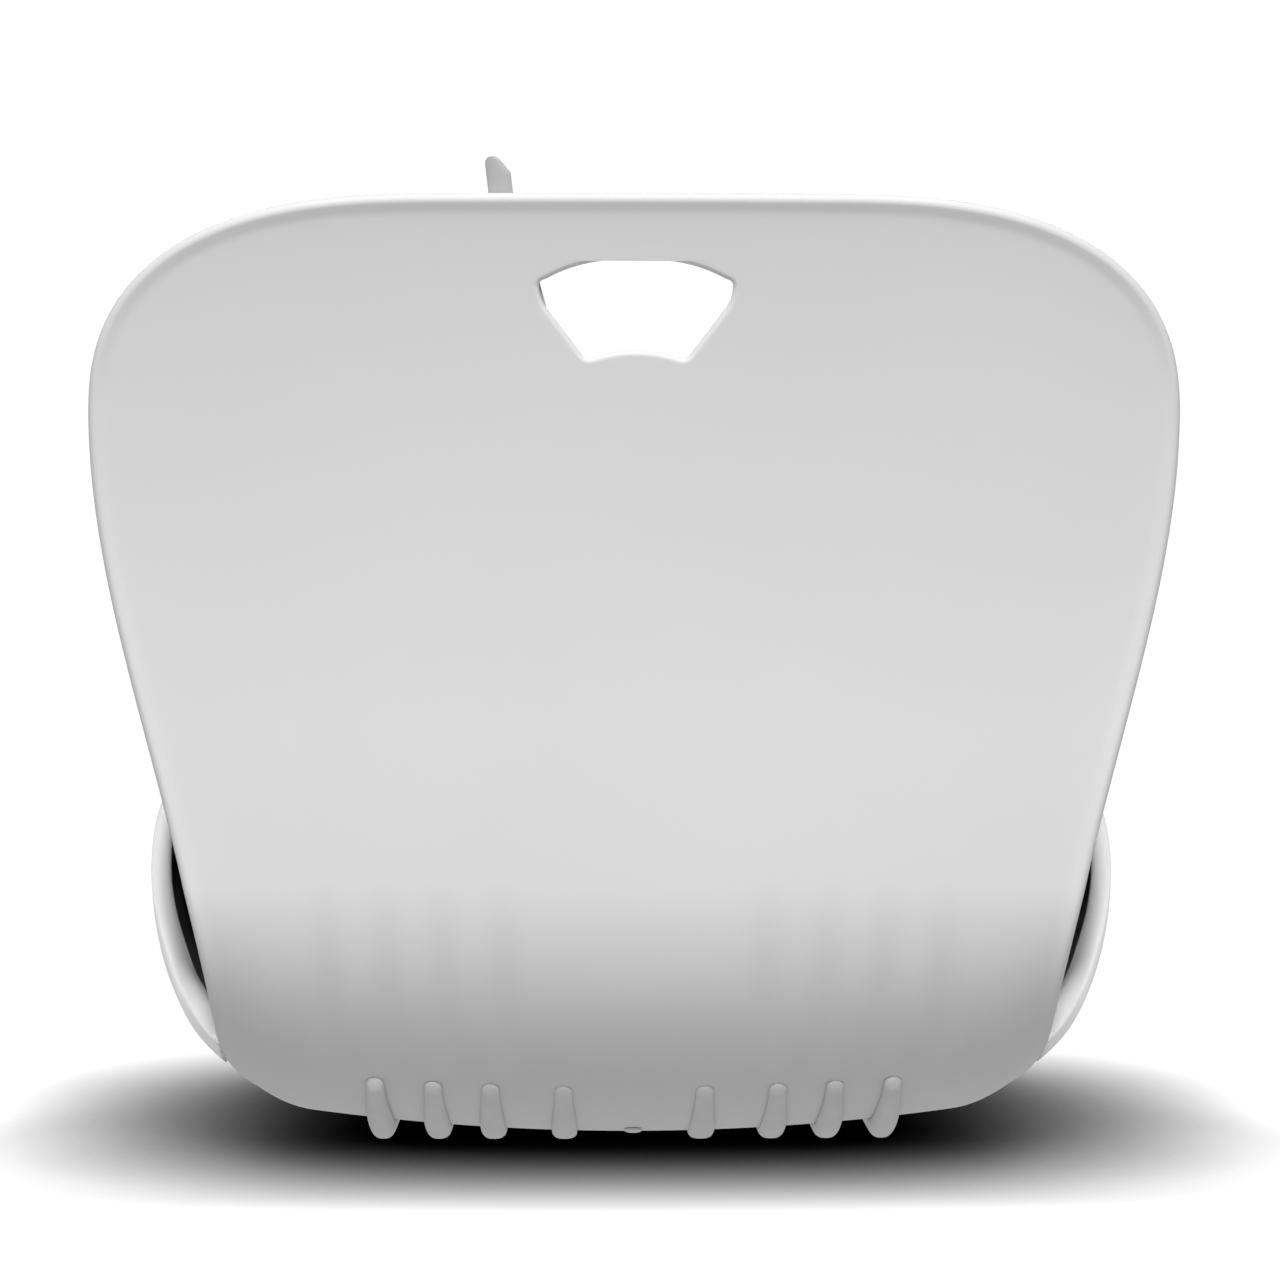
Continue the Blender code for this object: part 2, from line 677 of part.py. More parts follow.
def build_lid():
    n = 36
    hx, hy = OPENING
    z = BOWL_RIM_Z + BOWL_FLANGE + 0.35
    loops = [
        squircle(30, 45, OPENING_Y, n, z + 6.0), squircle(hx - 9, hy - 9, OPENING_Y, n, z + 3.2),
        squircle(hx - 8.2, hy - 8.2, OPENING_Y, n, z - 3.0), squircle(hx - 6.4, hy - 6.4, OPENING_Y, n, z - 3.0),
        squircle(hx - 6.0, hy - 6.0, OPENING_Y, n, z + 0.3), squircle(hx + 1.0, hy + 1.0, OPENING_Y, n, z),
        squircle(hx + 2.4, hy + 2.4, OPENING_Y, n, z + 0.7), squircle(hx + 2.4, hy + 2.4, OPENING_Y, n, z + 2.2),
        squircle(hx + 1.0, hy + 1.0, OPENING_Y, n, z + 3.2), squircle(hx - 8, hy - 8, OPENING_Y, n, z + 5.6),
        squircle(30, 45, OPENING_Y, n, z + 8.6), squircle(16, 18, OPENING_Y, n, z + 9.0),
    ]
    obj = loft_ring("lid", loops, "bowl", False, (0, OPENING_Y, z))
    smooth(obj)
    return obj


def turned(name, profile, kind, axis, steps=32, flip=True):
    """A body of revolution. The profile lists radius and height along the axis, in millimetres."""
    mesh = bpy.data.meshes.new(name)
    points = [(r * MM, 0, h * MM) for r, h in profile]
    mesh.from_pydata(points, [(i, i + 1) for i in range(len(points) - 1)], [])
    obj = bpy.data.objects.new(name, mesh)
    PARTS.objects.link(obj)
    mesh.materials.append(material(name, kind))
    origin, direction = axis
    obj.matrix_world = frame_on(np.asarray(origin) * MM, direction)
    add(obj, "SCREW", axis="Z", angle=2 * math.pi, steps=steps, render_steps=steps,
        use_merge_vertices=True, merge_threshold=0.00001, use_smooth_shade=True, use_normal_flip=flip)
    return obj


def build_lid_knob():
    z = BOWL_RIM_Z + BOWL_FLANGE + 0.35 + 9.0 + GAP
    profile = (
        (0, 0), (11, 0), (12, 0.8), (11.2, 2.2), (8.6, 5.5), (8.4, 8.5), (12.5, 11.5), (15.2, 13.4),
        (15.6, 15.0), (14.4, 16.8), (9.0, 18.2), (0, 18.8),
    )
    return turned("lid_knob", profile, "seat", ((0, OPENING_Y, z), (0, 0, 1)), 24)


def build_bail():
    """A bent wire handle. It lies round the lid, and its two ends turn out through the bowl's lugs."""
    z = BOWL_RIM_Z + 7.4
    end = LUG_X - 8.3
    side = LUG_X + 3.5
    curve = bpy.data.curves.new("bail", "CURVE")
    curve.dimensions = "3D"
    curve.bevel_depth = 2.3 * MM
    curve.bevel_resolution = 2
    curve.use_fill_caps = True
    curve.resolution_u = 5
    points = [(end, 0), (side - 4.0, 0)]
    points += [(side - 4.0 + 4.0 * math.sin(a), -4.0 + 4.0 * math.cos(a)) for a in np.linspace(0.4, 1.57, 4)]
    points += [(side, -30), (side, -62)]
    reach = OPENING[1] + 16.0
    last = math.acos(24.0 / side)
    points += [
        (side * math.cos(a), -62 - (reach - 62) * math.sin(a) / math.sin(last))
        for a in np.linspace(0.15, last, 8)
    ]
    points += [(0, -reach)]
    half = [Vector((x, y, 0)) for x, y in points]
    full = half + [Vector((-p.x, p.y, 0)) for p in reversed(half[:-1])]
    spline = curve.splines.new("POLY")
    spline.points.add(len(full) - 1)
    for point, place in zip(spline.points, full):
        point.co = (place.x * MM, place.y * MM, 0, 1)
    obj = bpy.data.objects.new("bail", curve)
    obj.location = (0, OPENING_Y * MM, z * MM)
    curve.materials.append(material("bail", "steel"))
    PARTS.objects.link(obj)
    return obj


def build_grip():
    """The bail's hand grip: a rounded sleeve with a bore for the wire, at the rear of the loop."""
    z = BOWL_RIM_Z + 7.4
    y = OPENING_Y - (OPENING[1] + 16.0)
    half = 21.0
    profile = (
        (2.75, -half), (4.6, -half), (5.6, -half + 1.2), (5.6, -8), (5.2, 0), (5.6, 8), (5.6, half - 1.2),
        (4.6, half), (2.75, half), (2.75, -half),
    )
    return turned("bail_grip", profile, "seat", ((0, y, z), (1, 0, 0)), 16)


# ---- Runners ----------------------------------------------------------------------------------
def runner_stations():
    """Stops along the shell from the runner's upper end to its front end."""
    first = s_of_z(RUNNER_END_Z)
    last = S_BELLY + RUNNER_FRONT_Y - BEND_R
    bend = [first + (S_BELLY - first) * k for k in np.linspace(0, 1, 13)]
    return bend + [S_BELLY + (last - S_BELLY) * k for k in (0.25, 0.5, 0.75, 0.97, 1.0)]


def runner_depth(x, s):
    """How far the runner stands out of the shell: enough to reach the floor once it is under the belly."""
    y, z, ny, nz = along(s)
    first = s_of_z(RUNNER_END_Z)
    full = BELLY_Z + dish(x) * 1.0
    rise = min(1.0, math.sqrt(max(0.0, (s - first) / 9.0)))
    start = 2.2 + 0.30 * dish(x)
    k = ease((s - first) / (S_BELLY - first))
    return rise * (start + (full - start) * k)


def build_runner(index, x, side):
    half, flat = RUNNER_WIDTH / 2, RUNNER_FLAT / 2
    verts, faces = [], []
    stations = runner_stations()
    for n, s in enumerate(stations):
        ny, nz = along(s)[2:]
        under = s >= S_BELLY - 1e-6
        depth = max(0.7, runner_depth(x, s))
        end = n == len(stations) - 1
        tip = n == 0
        squeeze = 0.62 if (end or tip) else 1.0
        lift = 0.9 if end else 0.0
        for dx, share in ((-half, 0.0), (half, 0.0), (half, 0.55), (flat, 1.0), (-flat, 1.0), (-half, 0.55)):
            px = side * x + dx * squeeze
            root = on_shell(px, s, GAP)
            centre = on_shell(side * x, s, 0.0)
            low = centre + np.array([0, ny, nz]) * depth
            if under:
                low[2] = 0.0
            p = root + (np.array([px, low[1], low[2]]) - root) * share
            if share == 1.0:
                p = np.array([px, low[1], low[2] + lift])
            verts.append(p)
    m = 6
    for j in range(len(stations) - 1):
        for i in range(m):
            k = (i + 1) % m
            faces.append((j * m + i, j * m + k, (j + 1) * m + k, (j + 1) * m + i))
    faces.append(tuple(range(m)))
    faces.append(tuple(range(len(verts) - 1, len(verts) - 1 - m, -1)))
    obj = new_object(f"runner_{index}", verts, faces, "rubber")
    smooth(obj, 30)
    return obj


# ---- Small parts ------------------------------------------------------------------------------
def build_rivets():
    """Four identical push rivets that hold the base shell on the back shell."""
    profile = ((0, -2.4), (3.6, -2.4), (4.6, -1.9), (5.0, -0.4), (2.55, -0.4), (2.55, 6.4), (1.9, 7.0), (0, 7.0))
    for index, axis in enumerate(rivet_axes()):
        turned(f"rivet_{index + 1}", profile, "white", axis, 12)


def build_drain_plug():
    """A small push-in plug at the lowest point of the bend. It lets cleaning water out of the back shell."""
    profile = ((0, -1.5), (2.6, -1.5), (3.5, -1.1), (3.8, -GAP), (2.2, -GAP), (2.2, WALL + 0.4), (0, WALL + 0.4))
    return turned("drain_plug", profile, "rubber", drain_axis(), 16)


def tab_frame():
    """The hang tab's own frame: Z is off the back's inner face, Y runs up the tab."""
    origin, inward = stud_axis()
    up = np.array([0.0, 0.0, 1.0])
    across = np.cross(up, inward)
    across /= np.linalg.norm(across)
    rise = np.cross(inward, across)
    a = math.radians(TAB_SLANT_DEG)
    along_tab = rise * math.cos(a) + (across if across[0] < 0 else -across) * math.sin(a)
    side = np.cross(along_tab, inward)
    turn = Matrix((side, along_tab, inward)).transposed()
    return Matrix.Translation(Vector(origin)) @ turn.to_4x4()


def build_tab():
    """A flat hanging tab on the sitter's side of the back. It turns on its stud."""
    placed = tab_frame()
    low, high = -TAB_LENGTH / 2, TAB_LENGTH / 2
    half = TAB_WIDTH / 2
    outline = [(-half, low + 2.5), (-half + 2.5, low), (half - 2.5, low), (half, low + 2.5)]
    outline += [(half, high - 4.0)]
    outline += [(half * math.cos(a), high - 4.0 + 4.0 * math.sin(a)) for a in np.linspace(0.3, math.pi - 0.3, 7)]
    outline += [(-half, high - 4.0)]
    n = len(outline)
    base = 0.55
    verts = [placed @ Vector((x, y, base)) for x, y in outline]
    verts += [placed @ Vector((x, y, base + TAB_THICK)) for x, y in outline]
    faces = [tuple(range(n)), tuple(range(2 * n - 1, n - 1, -1))]
    faces += [(i, (i + 1) % n, n + (i + 1) % n, n + i) for i in range(n)]
    origin, inward = stud_axis()
    obj = new_object("hang_tab", verts, faces, "clear", origin)
    cut(obj, tube_cutter("tab_hole", (origin, inward), 2.2, -1.0, 4.0))
    bevel(obj, 0.3, 1)
    smooth(obj)
    return obj


def build_tab_stud():
    profile = (
        (0, -1.0), (1.75, -1.0), (1.75, 0.55 + TAB_THICK + 0.3), (3.6, 0.55 + TAB_THICK + 0.3),
        (3.6, 0.55 + TAB_THICK + 0.9), (2.6, 0.55 + TAB_THICK + 1.7), (0, 0.55 + TAB_THICK + 2.0),
    )
    return turned("tab_stud", profile, "white", stud_axis(), 16)


# ---- Assembly ---------------------------------------------------------------------------------
build_back_shell()
build_hip_shell()
build_liner()
build_seat()
build_bowl()
build_lid()
build_lid_knob()
build_bail()
build_grip()
number = 1
for side in (-1, 1):
    for x in RUNNER_X if side > 0 else reversed(RUNNER_X):
        build_runner(number, x, side)
        number += 1
build_rivets()
build_drain_plug()
build_tab()
build_tab_stud()


def centre_footprint():
    """Slides everything along Y, so that the middle of the object's box is at the world origin."""
    bpy.context.view_layer.update()
    graph = bpy.context.evaluated_depsgraph_get()
    ys = []
    for obj in PARTS.objects:
        shape = obj.evaluated_get(graph)
        mesh = shape.to_mesh()
        ys += [(shape.matrix_world @ v.co).y for v in mesh.vertices]
        shape.to_mesh_clear()
    for obj in list(PARTS.objects) + list(CUTTERS.objects):
        obj.location.y -= (min(ys) + max(ys)) / 2


centre_footprint()
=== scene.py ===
"""Looks for the sit-up bedpan: fine shells, liner, seat, lid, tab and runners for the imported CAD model.

Lengths are in millimetres, in the CAD's own coordinates, until mesh_object moves and scales them.
x runs across the back, s runs down the back and on under the belly along the centre line.
"""

import math

import bmesh
import bpy
import numpy as np
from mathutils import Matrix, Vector
from mathutils.geometry import delaunay_2d_cdt


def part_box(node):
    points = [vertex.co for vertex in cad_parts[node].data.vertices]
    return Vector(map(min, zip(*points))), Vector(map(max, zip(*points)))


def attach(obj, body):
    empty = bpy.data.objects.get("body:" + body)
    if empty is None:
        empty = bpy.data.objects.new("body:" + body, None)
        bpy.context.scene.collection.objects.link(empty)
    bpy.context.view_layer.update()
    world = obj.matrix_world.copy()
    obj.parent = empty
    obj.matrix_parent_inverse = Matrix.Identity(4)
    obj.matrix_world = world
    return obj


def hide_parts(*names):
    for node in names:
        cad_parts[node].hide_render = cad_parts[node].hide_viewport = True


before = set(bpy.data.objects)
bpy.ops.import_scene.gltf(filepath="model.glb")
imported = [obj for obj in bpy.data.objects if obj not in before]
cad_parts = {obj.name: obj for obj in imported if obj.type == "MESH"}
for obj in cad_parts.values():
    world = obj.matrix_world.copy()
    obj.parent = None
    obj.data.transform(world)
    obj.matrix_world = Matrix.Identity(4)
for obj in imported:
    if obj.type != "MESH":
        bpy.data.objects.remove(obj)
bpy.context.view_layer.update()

MM = 0.001

# ---- Dimensions in millimetres ---------------------------------------------------------------
BACK_TOP_Z = 383.6
BACK_HALF = 215.9
SHOULDER_Z = 296.0
TOP_FLAT_HALF = 80.0
CORNER_POWER = 2.55
WAIST_HALF = 170.2
WAIST_Z = 40.0
LEAN_START_Z = 176.0
BEND_R = 110.0
BELLY_Z = 3.5
BELLY_END_Y = 292.0
BELLY_END_HALF = 122.0
END_ROUND = 34.0
END_POWER = 3.2
BELLY_TAPER = 1.15
CROWN = 14.0
DISH = 8.6
DISH_X = 130.0
BILGE = 22.0
BILGE_X = 135.0
BILGE_RUN = 40.0
WALL = 3.2
SPLIT_Z = 361.0

SLOT_CORNERS = ((38.3, 351.3, 3.0), (36.8, 343.0, 3.5), (19.9, 321.4, 1.8))
SLOT_TOP_BOW = 7.6
SLOT_BOTTOM_BOW = 3.2

HULL_CENTRE_Y = 205.0
HULL_FLAT = 0.62
LINER_WALL = 2.2
DECK_Z = 80.0
DECK_THICK = 3.6
OPENING = (75.0, 106.0)
OPENING_Y = 186.0
SQUIRCLE = 2.5

RUNNER_X = (28.7, 58.5, 81.8, 105.4)
FLUTE_X = (53.0, 77.0, 100.0, 124.0)
FLUTE_TOP_Z = 116.0
FLUTE_HALF = 10.0
FLUTE_DEPTH = 1.9
FLUTE_TIP = 7.0
FLUTE_TIP_RUN = 11.0
FLUTE_RISE = (8.0, 62.0)
FLUTE_FALL = (62.0, 50.0)

BASE_Z = BELLY_Z + WALL + 0.5
LINER_Z = BASE_Z + 3.0 + 1.1

WING_RIM = (
    (0, 99, 8.2), (45, 98, 9.6), (90, 94, 14.5), (125, 88, 22), (150, 79, 34), (166, 73, 44),
    (176.5, 73, 48), (183, 76, 56), (189.6, 81, 70), (196.2, 88, 86), (202, 98, 102), (205.3, 110, 118),
    (206, 126, 134), (205.5, 145, 144), (206, 170, 147.5), (207, 200, 143.5), (206, 238, 131),
    (201, 275, 114), (188, 311, 101), (163, 338, 94), (122, 352, 91), (62, 356.5, 90), (0, 357, 90),
)
LINER_RIM = (
    (0, 5.6, 150), (45, 6.6, 150), (90, 9.4, 150), (128, 14.6, 150), (158, 25, 149.5), (176, 44, 149),
    (187, 72, 148), (193.5, 102, 147), (197.6, 132, 144.5), (198.8, 165, 140), (199.6, 200, 136.5),
    (198.4, 237, 124.5), (193.4, 271.5, 107.5), (180.8, 305, 95), (157, 330.7, 88.5), (118, 344.8, 86),
    (60, 349.3, 85), (0, 349.8, 85),
)

# The CAD's footprint is centred on the origin, so everything built here is moved by the same amount.
rivet_low, rivet_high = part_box("rivet_1")
SHIFT_Y = 160.0 - (rivet_low.y + rivet_high.y) / 2 / MM


# ---- The curve that the back and belly follow, for arrays of x and s ---------------------------
LEAN = math.radians(17.0)
LEAN_R = (BACK_TOP_Z - LEAN_START_Z) / math.sin(LEAN)
BEND_Z = BELLY_Z + BEND_R
S_LEAN = LEAN_R * LEAN
S_BEND = S_LEAN + LEAN_START_Z - BEND_Z
S_BELLY = S_BEND + BEND_R * math.pi / 2
S_END = S_BELLY + BELLY_END_Y - BEND_R


def ease(t):
    """A soft step from 0 to 1."""
    t = np.clip(t, 0.0, 1.0)
    return t * t * (3 - 2 * t)


def along(s):
    """Y, Z and the outward direction of the centre line at s, for an array of s."""
    s = np.asarray(s, float)
    a = (S_LEAN - s) / LEAN_R
    b = np.clip((s - S_BEND) / BEND_R, 0, math.pi / 2)
    lean, bend, belly = s < S_LEAN, (s >= S_BEND) & (s < S_BELLY), s >= S_BELLY
    y = np.where(lean, LEAN_R * (np.cos(a) - 1), 0.0)
    z = np.where(lean, LEAN_START_Z + LEAN_R * np.sin(a), LEAN_START_Z - (s - S_LEAN))
    ny = np.where(lean, -np.cos(a), -1.0)
    nz = np.where(lean, -np.sin(a), 0.0)
    y = np.where(bend, BEND_R * (1 - np.cos(b)), y)
    z = np.where(bend, BEND_Z - BEND_R * np.sin(b), z)
    ny = np.where(bend, -np.cos(b), ny)
    nz = np.where(bend, -np.sin(b), nz)
    y = np.where(belly, BEND_R + s - S_BELLY, y)
    z = np.where(belly, BELLY_Z, z)
    return y, z, np.where(belly, 0.0, ny), np.where(belly, -1.0, nz)


def s_of_z(z):
    """Length along the centre line from its top down to height z."""
    if z >= LEAN_START_Z:
        return S_LEAN - LEAN_R * math.asin(min(1.0, (z - LEAN_START_Z) / LEAN_R))
    if z >= BEND_Z:
        return S_LEAN + LEAN_START_Z - z
    return S_BEND + BEND_R * math.asin(min(1.0, (BEND_Z - z) / BEND_R))


def dish(x):
    """How much the belly rises from the centre line out to x."""
    x = np.asarray(x, float)
    return DISH * (x / DISH_X) ** 2 + BILGE * np.clip((np.abs(x) - BILGE_X) / BILGE_RUN, 0, None) ** 2


def flutes(x, s):
    """Depth of four shallow channels on each side of the bend, which rise and fade softly along s."""
    x, s = np.broadcast_arrays(np.abs(np.asarray(x, float)), s)
    depth = np.zeros(x.shape)
    for centre in FLUTE_X:
        across = (x - centre) / FLUTE_HALF
        above = np.clip((s_of_z(FLUTE_TOP_Z) + FLUTE_TIP - s) / FLUTE_TIP_RUN, 0, None)
        depth = np.maximum(depth, FLUTE_DEPTH * (1 - ease(np.sqrt(across**2 + above**2))))
    risen = ease((s - s_of_z(FLUTE_TOP_Z + FLUTE_RISE[0])) / FLUTE_RISE[1])
    return depth * risen * (1 - ease((s - (S_BEND + FLUTE_FALL[0])) / FLUTE_FALL[1]))


def on_shell(x, s, out):
    """Points on the back shell's outer face, moved out along the centre line's normal."""
    x, s, out = np.broadcast_arrays(np.asarray(x, float), s, out)
    y, z, ny, nz = along(s)
    k = ease((s - S_BEND) / (S_BELLY - S_BEND))
    d = out - (1 - k) * CROWN * (x / BACK_HALF) ** 2 - k * dish(x)
    return np.stack([x, y + ny * d, z + nz * d], axis=-1)


def side_half(s):
    """The back's and belly's half width at s, below the shoulders."""
    if s < S_BELLY:
        z = float(along(s)[1])
        if z > WAIST_Z:
            share = float(ease((z - WAIST_Z) / (SHOULDER_Z - WAIST_Z)))
            return WAIST_HALF + (BACK_HALF - WAIST_HALF) * share
    s_waist = s_of_z(WAIST_Z)
    share = float(ease((s - s_waist) / (S_END - s_waist))) ** BELLY_TAPER
    return WAIST_HALF + (BELLY_END_HALF - WAIST_HALF) * share


def corner_z(x):
    """Height of the top edge and its round corners at x."""
    t = min(1.0, max(0.0, (abs(x) - TOP_FLAT_HALF) / (BACK_HALF - TOP_FLAT_HALF)))
    return SHOULDER_Z + (BACK_TOP_Z - SHOULDER_Z) * (1 - t**CORNER_POWER) ** (1 / CORNER_POWER)


def corner_half(z):
    """Half width of the top edge's round corners at height z."""
    t = min(1.0, max(0.0, (z - SHOULDER_Z) / (BACK_TOP_Z - SHOULDER_Z)))
    return TOP_FLAT_HALF + (BACK_HALF - TOP_FLAT_HALF) * (1 - t**CORNER_POWER) ** (1 / CORNER_POWER)


def spread(points, step):
    """The closed line through the points, at even steps of about the length given."""
    points = np.asarray(points, float)
    loop = np.vstack([points, points[:1]])
    length = np.concatenate([[0], np.cumsum(np.linalg.norm(np.diff(loop, axis=0), axis=1))])
    count = max(8, int(round(length[-1] / step)))
    stops = np.linspace(0, length[-1], count, endpoint=False)
    return np.stack([np.interp(stops, length, loop[:, k]) for k in range(loop.shape[1])], axis=1)


def rounded(loop, passes):
    """A light smoothing of a closed line."""
    for _ in range(passes):
        loop = 0.5 * loop + 0.25 * (np.roll(loop, 1, axis=0) + np.roll(loop, -1, axis=0))
    return loop


def crown_rise(x, z):
    """How much the crown lifts a point of the leaning back."""
    return CROWN * (x / BACK_HALF) ** 2 * max(0.0, z - LEAN_START_Z) / LEAN_R


def side_at(s):
    """The outline's half width at s."""
    z = float(along(s)[1])
    if z <= LEAN_START_Z:
        return side_half(s)
    z += crown_rise(corner_half(z), z)
    return corner_half(z) if z > SHOULDER_Z else side_half(s_of_z(z))


def shell_outline(step):
    """The flat pattern's outline in x and s, clockwise as seen from behind."""
    split = corner_half(SPLIT_Z)
    top = []
    for x in np.linspace(-split, split, 400):
        z = corner_z(x)
        top.append((x, s_of_z(z - crown_rise(x, z))))
    side = [(side_at(s), s) for s in np.linspace(top[-1][1], S_END - END_ROUND, 900)[1:]]
    end = side[-1][0]
    low = []
    for u in np.linspace(1, -1, 300)[1:-1]:
        reach = END_ROUND * (1 - abs(u) ** END_POWER) ** (1 / END_POWER)
        low.append((u * end, S_END - END_ROUND + reach))
    left = [(-x, s) for x, s in reversed(side)]
    return rounded(spread(top + side + low + left, step), 3)


def slot_outline(step):
    """The hand slot's outline in x and s: bowed top, short upright sides, slanted lower sides."""
    first = SLOT_CORNERS[0]
    corners = [(-first[0], *first[1:]), *SLOT_CORNERS]
    corners += [(-x, z, r) for x, z, r in reversed(SLOT_CORNERS[1:])]
    bows = {0: (SLOT_TOP_BOW, 2.6), 3: (SLOT_BOTTOM_BOW, 2.0)}
    points = []
    for i, (x, z, r) in enumerate(corners):
        here, following = np.array([x, z]), corners[(i + 1) % len(corners)]
        before, after = np.array(corners[i - 1][:2]), np.array(following[:2])
        a = here + (before - here) / np.linalg.norm(before - here) * r
        b = here + (after - here) / np.linalg.norm(after - here) * r
        points += [(1 - k) ** 2 * a + 2 * k * (1 - k) * here + k * k * b for k in np.linspace(0, 1, 12)]
        if i in bows:
            stop = after + (here - after) / np.linalg.norm(here - after) * following[2]
            rise, power = bows[i]
            for k in np.linspace(0, 1, 40)[1:-1]:
                points.append(b + (stop - b) * k + np.array([0, rise * (1 - abs(2 * k - 1) ** power)]))
    return rounded(spread([(x, s_of_z(z)) for x, z in points], step), 2)


def turtle(start, heading, moves, step=0.35):
    """A profile in (distance from the edge, height out), walked as straight and curved runs."""
    points = [np.array(start, float)]
    angle = math.radians(heading)
    for kind, amount, radius in moves:
        if kind == "line":
            points.append(points[-1] + amount * np.array([math.cos(angle), math.sin(angle)]))
            continue
        turn = math.radians(amount)
        count = max(3, int(abs(turn) * radius / step))
        reach = abs(turn) * radius / count
        for _ in range(count):
            angle += turn / count / 2
            points.append(points[-1] + reach * np.array([math.cos(angle), math.sin(angle)]))
            angle += turn / count / 2
    return np.array(points)


RIM_BAND = 26.0
RIM_RADIUS = 2.7
RIM_START = 3.95
LIP_RISE, LIP_RUN = 2.3, 8.5
LIP_SWELL = 0.55


def lip(t):
    """How far the outer face rises towards the rim, t from the edge."""
    rise = LIP_RISE * np.clip(1 - t / LIP_RUN, 0, 1) ** 2
    return rise + LIP_SWELL * np.clip(1 - t / RIM_BAND, 0, 1) ** 2


def rim_profile():
    """Outer face, rounded rim, returned lip and inner face, as (t, out) from one to the other."""
    slope = math.degrees(math.atan(2 * LIP_RISE / LIP_RUN * (1 - RIM_START / LIP_RUN)))
    stops = (RIM_BAND, 23, 20, 17, 14.5, 12.5, 11, 9.8, 8.8, 8, 7.2, 6.4, 5.6, 4.8)
    fall = [(t, float(lip(t))) for t in stops]
    edge = turtle((RIM_START, float(lip(RIM_START))), 180 - slope, [
        ("turn", 90 + slope, RIM_RADIUS), ("line", 0.9, 0), ("turn", 180, 0.95), ("line", 0.3, 0),
        ("turn", -62, 1.6),
    ])
    back = [(t, float(lip(t)) - WALL) for t in (6.2, 7.2, 8.2, 9.5, 11.5, 14, 17, 20, 23, RIM_BAND)]
    edge[:, 0] -= edge[:, 0].min()
    return np.vstack([fall, edge, back])


SLOT_BAND = 9.0


def slot_profile():
    """The same for the hand slot, whose outer face stays flat up to the rounded edge."""
    fall = [(t, 0.0) for t in (SLOT_BAND, 7.4, 6, 4.8, 3.8)]
    edge = turtle((2.4, 0.0), 180, [
        ("turn", 90, 2.2), ("line", 0.5, 0), ("turn", 180, 0.7), ("line", 0.1, 0), ("turn", -70, 0.4),
    ])
    back = [(t, -WALL) for t in (4.4, 5.6, 7.2, SLOT_BAND)]
    edge[:, 0] -= edge[:, 0].min()
    return np.vstack([fall, edge, back])


def inset(loop, t):
    """The closed line moved to its right-hand side by t, where x runs right and s runs down."""
    ahead = np.roll(loop, -1, axis=0) - np.roll(loop, 1, axis=0)
    ahead /= np.linalg.norm(ahead, axis=1)[:, None]
    inward = np.stack([-ahead[:, 1], ahead[:, 0]], axis=1)
    return loop + inward * t


def mesh_object(name, verts, faces):
    """A new object from points in CAD millimetres, moved to the centred frame."""
    points = (np.asarray(verts, float) - (0.0, SHIFT_Y, 0.0)) * MM
    mesh = bpy.data.meshes.new(name)
    mesh.from_pydata(points.tolist(), [], faces)
    mesh.update()
    obj = bpy.data.objects.new(name, mesh)
    bpy.context.scene.collection.objects.link(obj)
    bm = bmesh.new()
    bm.from_mesh(mesh)
    bmesh.ops.remove_doubles(bm, verts=bm.verts, dist=1e-6)
    bmesh.ops.recalc_face_normals(bm, faces=bm.faces)
    bm.to_mesh(mesh)
    bm.free()
    mesh.polygons.foreach_set("use_smooth", [True] * len(mesh.polygons))
    return obj


RIM_STEP, SLOT_STEP, GRID = 2.6, 1.0, 3.2


def inside(points, loop):
    """Which points lie within a closed line."""
    x, y = points[:, 0], points[:, 1]
    hit = np.zeros(len(points), bool)
    x0, y0 = loop[:, 0], loop[:, 1]
    x1, y1 = np.roll(x0, -1), np.roll(y0, -1)
    for a, b, c, d in zip(x0, y0, x1, y1):
        cross = (b > y) != (d > y)
        hit ^= cross & (x < (c - a) * (y - b) / (d - b + 1e-12) + a)
    return hit


